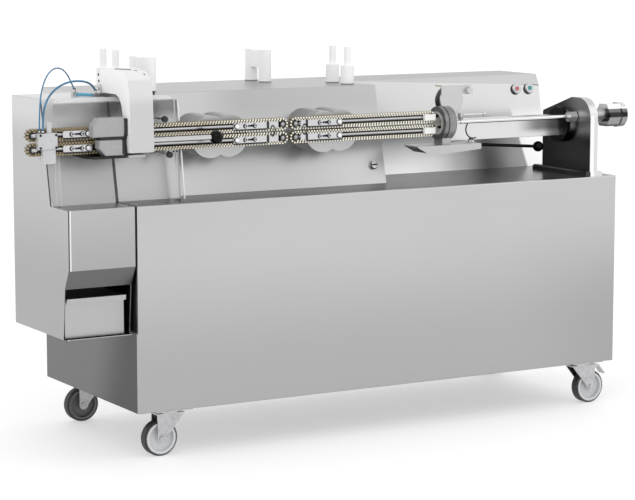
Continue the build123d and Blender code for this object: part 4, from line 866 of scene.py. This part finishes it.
# Painted shade: black blocks in the slits between the jaws and beside the hood's leg, and one left of the
# lower jaw.
jaw_gap_shade = bmesh.new()
add_block(
    jaw_gap_shade,
    (lower_low.x + 0.004, lower_low.y + 0.004, lower_high.z + 0.0006),
    (hood_left - 0.001, lower_high.y - 0.004, upper_low.z - 0.0012),
    0.001,
)
add_block(
    jaw_gap_shade,
    (lower_high.x + 0.0008, lower_low.y + 0.008, lower_low.z + 0.001),
    (hood_left - 0.0012, lower_high.y, lower_high.z),
    0.001,
)
add_block(
    jaw_gap_shade,
    (lower_high.x - 0.0090, lower_low.y - 0.0006, lower_low.z + 0.004),
    (lower_high.x + 0.0008, lower_low.y + 0.020, lower_high.z),
    0.001,
)
add_block(jaw_gap_shade, (-0.9880, -0.2600, 1.0360), (-0.9400, -0.2555, 1.1180), 0.001)
show(jaw_gap_shade, "gripper_gap_shade", "machine", "black_plastic", rubber_and_shade_black)
# Painted shade in the slits beside the upper jaw, moving with the hood.
upper_jaw_gap_shade = bmesh.new()
add_block(
    upper_jaw_gap_shade,
    (upper_high.x + 0.0008, upper_low.y + 0.010, upper_low.z + 0.001),
    (hood_left - 0.0002, upper_high.y - 0.004, upper_high.z - 0.004),
    0.001,
)
add_block(
    upper_jaw_gap_shade,
    (upper_high.x - 0.0090, upper_low.y - 0.0006, upper_low.z + 0.001),
    (upper_high.x + 0.0008, upper_low.y + 0.020, upper_high.z - 0.004),
    0.001,
)
show(upper_jaw_gap_shade, "upper_gripper_gap_shade", "hood", "black_plastic", rubber_and_shade_black)
dimples = bmesh.new()
for share in (0.30, 0.55, 0.78):
    dimple_x = lower_low.x + share * (lower_high.x - lower_low.x)
    dimple_z = (lower_low.z + lower_high.z) / 2 + 0.004
    add_disc(dimples, (dimple_x, lower_low.y - 0.0001, dimple_z), (0, -1, 0), 0.0042, 0.0006)
show(dimples, "lower_gripper_plugs", "machine", "white_plastic", pulley_grey)
upper_dimples = bmesh.new()
for share in (0.38, 0.68):
    dimple_x = upper_low.x + share * 0.113
    dimple_z = (upper_low.z + upper_high.z) / 2 + 0.003
    add_disc(upper_dimples, (dimple_x, upper_low.y - 0.0001, dimple_z), (0, -1, 0), 0.0042, 0.0006)
show(upper_dimples, "upper_gripper_plugs", "hood", "white_plastic", pulley_grey)

# Splash guard
# A bent clear sheet behind the left conveyors; its dark patches are painted reflection, and its bright top
# band and edge lines are painted highlights.
# Two black thumb screws with knurled heads go through it, and a short white bar clamps its edge.
guard_clear = Finish("guard_clear", (0.46, 0.465, 0.47), 0.12)
guard_cloud = guard_clear.noise(3, 3, 5)
guard_at = guard_clear.place()
guard_clear.blend(guard_cloud.rise(0.35, 0.75) * 0.5, (0.40, 0.405, 0.41))
guard_depth = guard_at.y + 0.2628 - (guard_at.z - 1.005) * 0.0903
guard_edge_in = 0.2300 - abs(guard_at.x + 0.8795)
# Painted reflection and highlight: dark patches high on the sheet, a bright band along its top, and thin
# bright lines at the front and root of each return.
dark_reflection = guard_at.z.rise(1.13, 1.19) * guard_cloud.rise(0.30, 0.55)
lit_top = guard_at.z.rise(1.214, 1.222)
right_half = guard_at.x.rise(-0.89, -0.87)
return_start = guard_depth + 0.040 - (guard_at.z - 0.882) * 0.0569
front_line = return_start.rise(0.0045, 0.0030)
root_line = guard_depth.rise(-0.0045, -0.0030) * guard_edge_in.rise(0.0090, 0.0065)
guard_lines = front_line.most(root_line) * (right_half * 0.7 + 0.3)
guard_clear.blend(dark_reflection * 0.9, 0.08)
guard_clear.blend(lit_top.most(guard_lines), (0.82, 0.82, 0.83))
guard_alpha = (dark_reflection * (right_half * 0.25 + 0.2) + 0.07).most(lit_top * 0.5)
guard_clear.put(guard_clear.shader, "Alpha", guard_alpha.most(guard_lines * 0.85))
# Faces turned up take guard_edge, a painted highlight.
guard_edge = Finish("guard_edge", (0.86, 0.88, 0.88), 0.2, alpha=0.9)
guard_edge.mottle(20, 0.4, (0.78, 0.80, 0.81))
guard = cover("splash_guard", guard_clear, guard_edge)
guard_low, guard_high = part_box("splash_guard")
for face in guard.polygons:
    from_end = min(face.center.x - guard_low.x, guard_high.x - face.center.x)
    face.material_index = 1 if face.normal.z > 0.6 and from_end > 0.006 else 0
clamp_plastic = Finish("clamp_plastic", 0.74, 0.35)
clamp_plastic.mottle(60, 0.5, 0.60, 0.35, 0.75)
clamp_bar = bmesh.new()
add_block(clamp_bar, (-0.7000, -0.2665, 1.0350), (-0.6515, -0.2612, 1.0520), 0.0012)
show(clamp_bar, "guard_clamp", "machine", "white_plastic", clamp_plastic)
clamp_bits = bmesh.new()
for bit_x in (-0.6905, -0.6700, -0.6580):
    add_disc(clamp_bits, (bit_x, -0.2668, 1.0405), (0, -1, 0), 0.0036, 0.0014)
show(clamp_bits, "guard_clamp_screws", "machine", "black_plastic", rubber_and_shade_black)
knob_black = Finish("knob_black", (0.010, 0.010, 0.011), 0.42)
knob_black.mottle(300, 0.6, (0.022, 0.022, 0.023))
for node in ("thumb_screw_upper", "thumb_screw_lower"):
    thumb = cover(node, knob_black, bar_steel)
    thumb_low, thumb_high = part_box(node)
    for face in thumb.polygons:
        face.material_index = 1 if face.center.y > thumb_low.y + 0.0141 else 0
    knurl = bmesh.new()
    head_x = (thumb_low.x + thumb_high.x) / 2
    head_z = (thumb_low.z + thumb_high.z) / 2
    for i in range(24):
        turn = 2 * math.pi * i / 24
        ridge = (head_x + 0.0099 * math.cos(turn), thumb_low.y + 0.007, head_z + 0.0099 * math.sin(turn))
        add_disc(knurl, ridge, (0, 1, 0), 0.0009, 0.012, 0.0, sides=6)
    show(knurl, node + "_knurl", node, "stainless", knob_black)

# Horn rests
# Turned white plastic posts screwed to the roof, joined in pairs, that keep the spare horns.
post_white = Finish("post_white", (0.90, 0.90, 0.895), 0.42)
post_grain = post_white.noise(30, 30, 400)
post_white.blend(post_grain.rise(0.4, 0.75) * 0.35, (0.85, 0.85, 0.845))
post_at = post_white.place()
# Painted shade: a dark band at the foot of each post where it stands on the roof.
post_white.blend(post_at.z.rise(1.2345, 1.2320) * 0.9, 0.10)
post_white.bump(post_grain, 0.0003, 0.2)
cover("spare_horn_rests", post_white)

# Bracket and inlet
# An upright of thick ground steel on a milled foot; a polished stub and hexagon union nut
# on its outer side take the filler's pipe.
bracket_steel = steel_sheet("bracket_steel", 0.58, 0.30, along_y)
bracket_at = bracket_steel.place()
# Painted light and shade: the outer side is painted dark as shade with a lighter patch at its upper front,
# bright lines along the front edges are painted highlights, and the inlet stub is painted darker with a dark
# lower band as painted reflection.
bracket_side = bracket_at.x.rise(1.0135, 1.0129)
bracket_glow = bracket_at.z.rise(1.00, 1.07) * bracket_at.y.rise(-0.20, -0.32)
bracket_steel.blend(bracket_side * 0.97, (0.042, 0.042, 0.041))
bracket_steel.blend(bracket_side * bracket_glow * 0.9, 0.30)
bracket_front = bracket_at.y.rise(-0.3805, -0.3815)
bracket_steel.blend(bracket_front * bracket_at.x.rise(1.014, 1.015), 0.90)
inlet_part = bracket_at.x.rise(1.060, 1.062) * bracket_at.z.rise(1.020, 1.030)
bracket_steel.blend(inlet_part * 0.9, 0.34)
bracket_steel.blend(inlet_part * bracket_at.z.rise(1.098, 1.092) * 0.85, 0.07)
bracket_steel.blend(bracket_front * bracket_at.x.rise(1.029, 1.033) * 0.8, (0.62, 0.62, 0.625))
cover("right_bracket", bracket_steel)
nut_steel = Finish("nut_steel", (0.13, 0.13, 0.132), 0.13, 1.0)
nut_steel.wear((40, 500, 500), 0.5, (0.09, 0.09, 0.092), 0.12, 0.08)
nut_at = nut_steel.place()
# Painted reflection: bright and dark bands up the nut.
nut_steel.blend(nut_at.z.rise(1.118, 1.124), 0.70)
nut_steel.blend(nut_at.z.rise(1.112, 1.104) * 0.95, 0.02)
nut_steel.blend(nut_at.z.rise(1.092, 1.086) * 0.9, 0.34)
nut_steel.blend(nut_at.z.rise(1.066, 1.058) * 0.9, 0.10)
cover("union_nut", nut_steel)

# Horn
# The polished tube that carries the casing, with a hexagon for the spanner at its root.
horn_steel = Finish("horn_steel", (0.66, 0.66, 0.67), 0.10, 1.0)
horn_steel.wear((4, 400, 400), 0.4, (0.54, 0.54, 0.55), 0.1, 0.06)
cover("horn", horn_steel)

# Brake head
# A bright ground box arm on a dark flange, with a fine engraved arc, carries the cast saddle.
# The brake ring is dark steel, its back half knurled behind a black ring, round a plastic rotor.
arm_steel = steel_sheet("arm_steel", 0.70, 0.24, along_x)
arm_at = arm_steel.place()
# Painted shade: the arm darkens at its upper right and along its lower edge.
arm_shade = arm_at.x.rise(0.76, 0.88) * arm_at.z.rise(1.030, 1.058)
arm_steel.blend(arm_shade * 0.9, 0.15)
arm_steel.blend(arm_at.z.rise(1.0245, 1.0235) * 0.8, 0.10)
flange_dark = Finish("flange_dark", 0.012, 0.35, 0.9)
flange_dark.mottle(50, 0.6, (0.025, 0.025, 0.026))
flange_at = flange_dark.place()
# Painted highlight: the upper front of the flange is lighter.
flange_top = flange_at.z.rise(1.035, 1.060) * flange_at.y.rise(-0.225, -0.255)
flange_dark.blend(flange_top * flange_at.x.rise(1.000, 1.002) * 0.9, 0.50)
arm = cover("brake_arm", arm_steel, flange_dark, cast_satin)
arm_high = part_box("brake_arm")[1]
flange_start = arm_high.x - 0.0263
arm_bottom = 1.0229
arm_front = -0.242
for face in arm.polygons:
    if face.center.x > flange_start:
        face.material_index = 1
    elif face.center.z < arm_bottom or face.center.y < arm_front - 0.0005:
        face.material_index = 2
    else:
        face.material_index = 0
arm_groove = bmesh.new()
groove_at = (0.5800, arm_front - 0.0002, 1.0625)
groove_radius = 0.0335
groove_loop = add_loop(arm_groove, groove_radius, 0.0024, math.radians(150), 24)
groove_stand = Matrix.Translation(groove_at) @ upright
groove_turn = Matrix.Rotation(math.radians(140), 4, "Z")
bmesh.ops.transform(arm_groove, matrix=groove_stand @ groove_turn, verts=groove_loop)
show(arm_groove, "arm_groove", "machine", "stainless", flange_dark)
ring_dark = Finish("ring_dark", (0.23, 0.23, 0.232), 0.32, 0.9)
ring_dark.wear((250, 250, 250), 0.6, (0.11, 0.11, 0.112), 0.2, 0.22)
saddle_grey = Finish("saddle_grey", (0.42, 0.42, 0.425), 0.35, 0.9)
saddle_grey.blend(saddle_grey.noise(40, 200, 40).rise(0.4, 0.75) * 0.5, (0.34, 0.34, 0.345))
brake_shell = cover("brake_housing", ring_dark, saddle_grey)
for face in brake_shell.polygons:
    face.material_index = 1 if face.center.z < 1.040 else 0
rotor_white = Finish("rotor_white", (0.52, 0.51, 0.48), 0.36)
rotor_white.mottle(80, 0.5, (0.40, 0.39, 0.36))
rotor_at = rotor_white.place()
rotor_reach = (rotor_at.y - line_y) * (rotor_at.y - line_y) + (rotor_at.z - line_z) * (rotor_at.z - line_z)
rotor_white.blend(rotor_reach.rise(0.0016, 0.0018) * 0.8, 0.16)
cover("brake_ring", rotor_white)
ring_low, ring_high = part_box("brake_housing")
ring_radius = 0.061
knurl = bmesh.new()
for i in range(90):
    turn = 2 * math.pi * i / 90
    if math.sin(turn) < -0.82:
        continue
    ridge_y = line_y + ring_radius * math.cos(turn)
    ridge_z = line_z + ring_radius * math.sin(turn)
    add_disc(knurl, (ring_high.x - 0.016, ridge_y, ridge_z), (1, 0, 0), 0.0011, 0.026, sides=6)
knurl_worn = Finish("knurl_worn", (0.34, 0.34, 0.345), 0.3, 0.9)
knurl_worn.blend(knurl_worn.noise(300, 40, 40).rise(0.35, 0.7) * 0.7, 0.20)
show(knurl, "brake_ring_knurl", "brake_carriage", "dark_ring", knurl_worn)
ring_gap = bmesh.new()
gap_at = (ring_high.x - 0.0315, line_y, line_z)
gap_loop = add_loop(ring_gap, ring_radius - 0.0010, 0.0023, steps=64)
gap_stand = Matrix.Translation(gap_at) @ Matrix.Rotation(math.pi / 2, 4, "Y")
bmesh.ops.transform(ring_gap, matrix=gap_stand, verts=gap_loop)
show(ring_gap, "brake_ring_gap", "brake_carriage", "dark_ring", rubber_and_shade_black)
rotor_jaws = bmesh.new()
for i in range(3):
    turn = math.radians(90 + 120 * i)
    tooth = Vector((ring_low.x - 0.004, line_y + 0.026 * math.cos(turn), line_z + 0.026 * math.sin(turn)))
    add_disc(rotor_jaws, tooth, (1, 0, 0), 0.0055, 0.012, 0.001)
show(rotor_jaws, "rotor_pins", "brake_rotor", "dark_ring", flange_dark)

# Round cover
# A lidded aluminium drum with a black seal, under a bent plate of yellowish plastic and a wing knob.
cover_satin = Finish("cover_satin", (0.57, 0.57, 0.575), 0.34, 1.0)
cover_satin.wear((200, 200, 200), 0.4, (0.51, 0.51, 0.515), 0.15, 0.28)
plate_amber = Finish("plate_amber", (0.50, 0.46, 0.34), 0.22)
plate_amber.mottle(25, 0.6, (0.62, 0.59, 0.48), 0.35, 0.75)
drum = cover("round_cover", cover_satin, plate_amber)
for face in drum.polygons:
    face.material_index = 1 if face.center.z > 1.2222 else 0
cover("wing_knob", fitting_steel)
band = bmesh.new()
drum_at = (0.4915, -0.2095, 1.172)
add_disc(band, drum_at, (0, 1, 0), 0.0510, 0.027, 0.001, sides=64)
show(band, "round_cover_seal", "machine", "black_plastic", rubber_and_shade_black)

# Levers
# The brake lever and the clamp handle: polished rods, the long one with a black ball. A wing bolt
# stands under the arm where the lever starts.
lever_steel = Finish("lever_steel", (0.55, 0.55, 0.56), 0.16, 1.0)
lever_steel.blend(lever_steel.noise(6, 500, 500, 3.0).rise(0.4, 0.75) * 0.5, (0.42, 0.42, 0.43))
lever_at = lever_steel.place()
# Painted reflection: below 1.005 m the rod is painted near black.
lever_steel.blend(lever_at.z.rise(1.0070, 1.0050), 0.012)
lever = cover("brake_lever", lever_steel, ball_black)
lever_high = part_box("brake_lever")[1]
for face in lever.polygons:
    face.material_index = 1 if face.center.x > lever_high.x - 0.0402 else 0
cover("clamp_lever", rod_steel)
wing = bmesh.new()
add_block(wing, (0.5560, -0.2300, 0.9860), (0.5625, -0.2180, 1.0228), 0.001)
show(wing, "wing_bolt_shank", "machine", "stainless", screw_and_shadow_black)
wing = bmesh.new()
add_block(wing, (0.5635, -0.2290, 0.9900), (0.5685, -0.2190, 1.0220), 0.0015)
add_disc(wing, (0.5662, -0.2330, 0.9960), (0, 1, 0.4), 0.0040, 0.012, 0.001)
add_disc(wing, (0.5662, -0.2330, 1.0160), (0, 1, -0.4), 0.0040, 0.012, 0.001)
show(wing, "wing_bolt_ears", "machine", "stainless", fitting_steel)

# Controls and latch
# Moulded grey bezels with a red stop and a green start button, set square in the sloped face,
# and a plated quarter-turn latch with a slot for a coin.
bezel_grey = Finish("bezel_grey", (0.56, 0.56, 0.57), 0.30, 0.6)
bezel_grey.mottle(400, 0.5, (0.46, 0.46, 0.47))
cover("button_bezels", bezel_grey)
bezel_low, bezel_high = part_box("button_bezels")
bezel_seals = bmesh.new()
for seal_x in (bezel_low.x + 0.0165, bezel_high.x - 0.0235):
    seal_at = Vector((seal_x, (bezel_low.y + bezel_high.y) / 2, (bezel_low.z + bezel_high.z) / 2))
    seal_at += Vector((0, 0.98, -0.18)) * 0.0035 + Vector((0, -0.18, -0.98)) * 0.0025
    add_disc(bezel_seals, seal_at, (0, -0.98, 0.18), 0.0208, 0.0026)
show(bezel_seals, "bezel_seals", "machine", "stainless", rubber_and_shade_black)
button_red = Finish("button_red", (0.50, 0.13, 0.14), 0.35)
button_red.mottle(150, 0.4, (0.56, 0.18, 0.18))
cover("red_button", button_red)
button_green = Finish("button_green", (0.03, 0.28, 0.26), 0.35)
button_green.mottle(150, 0.4, (0.02, 0.34, 0.30))
cover("green_button", button_green)
cover("panel_latch", fitting_steel)
latch_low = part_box("panel_latch")[0]
# Painted shadow: a black ring set behind the latch, offset to the left.
shade = bmesh.new()
latch_at = (0.1917, latch_low.y + 0.0045, 0.9418)
add_disc(shade, latch_at, (0, -0.974, 0.225), 0.0150, 0.003, 0.0005)
show(shade, "latch_shadow_ring", "machine", "stainless", screw_and_shadow_black)
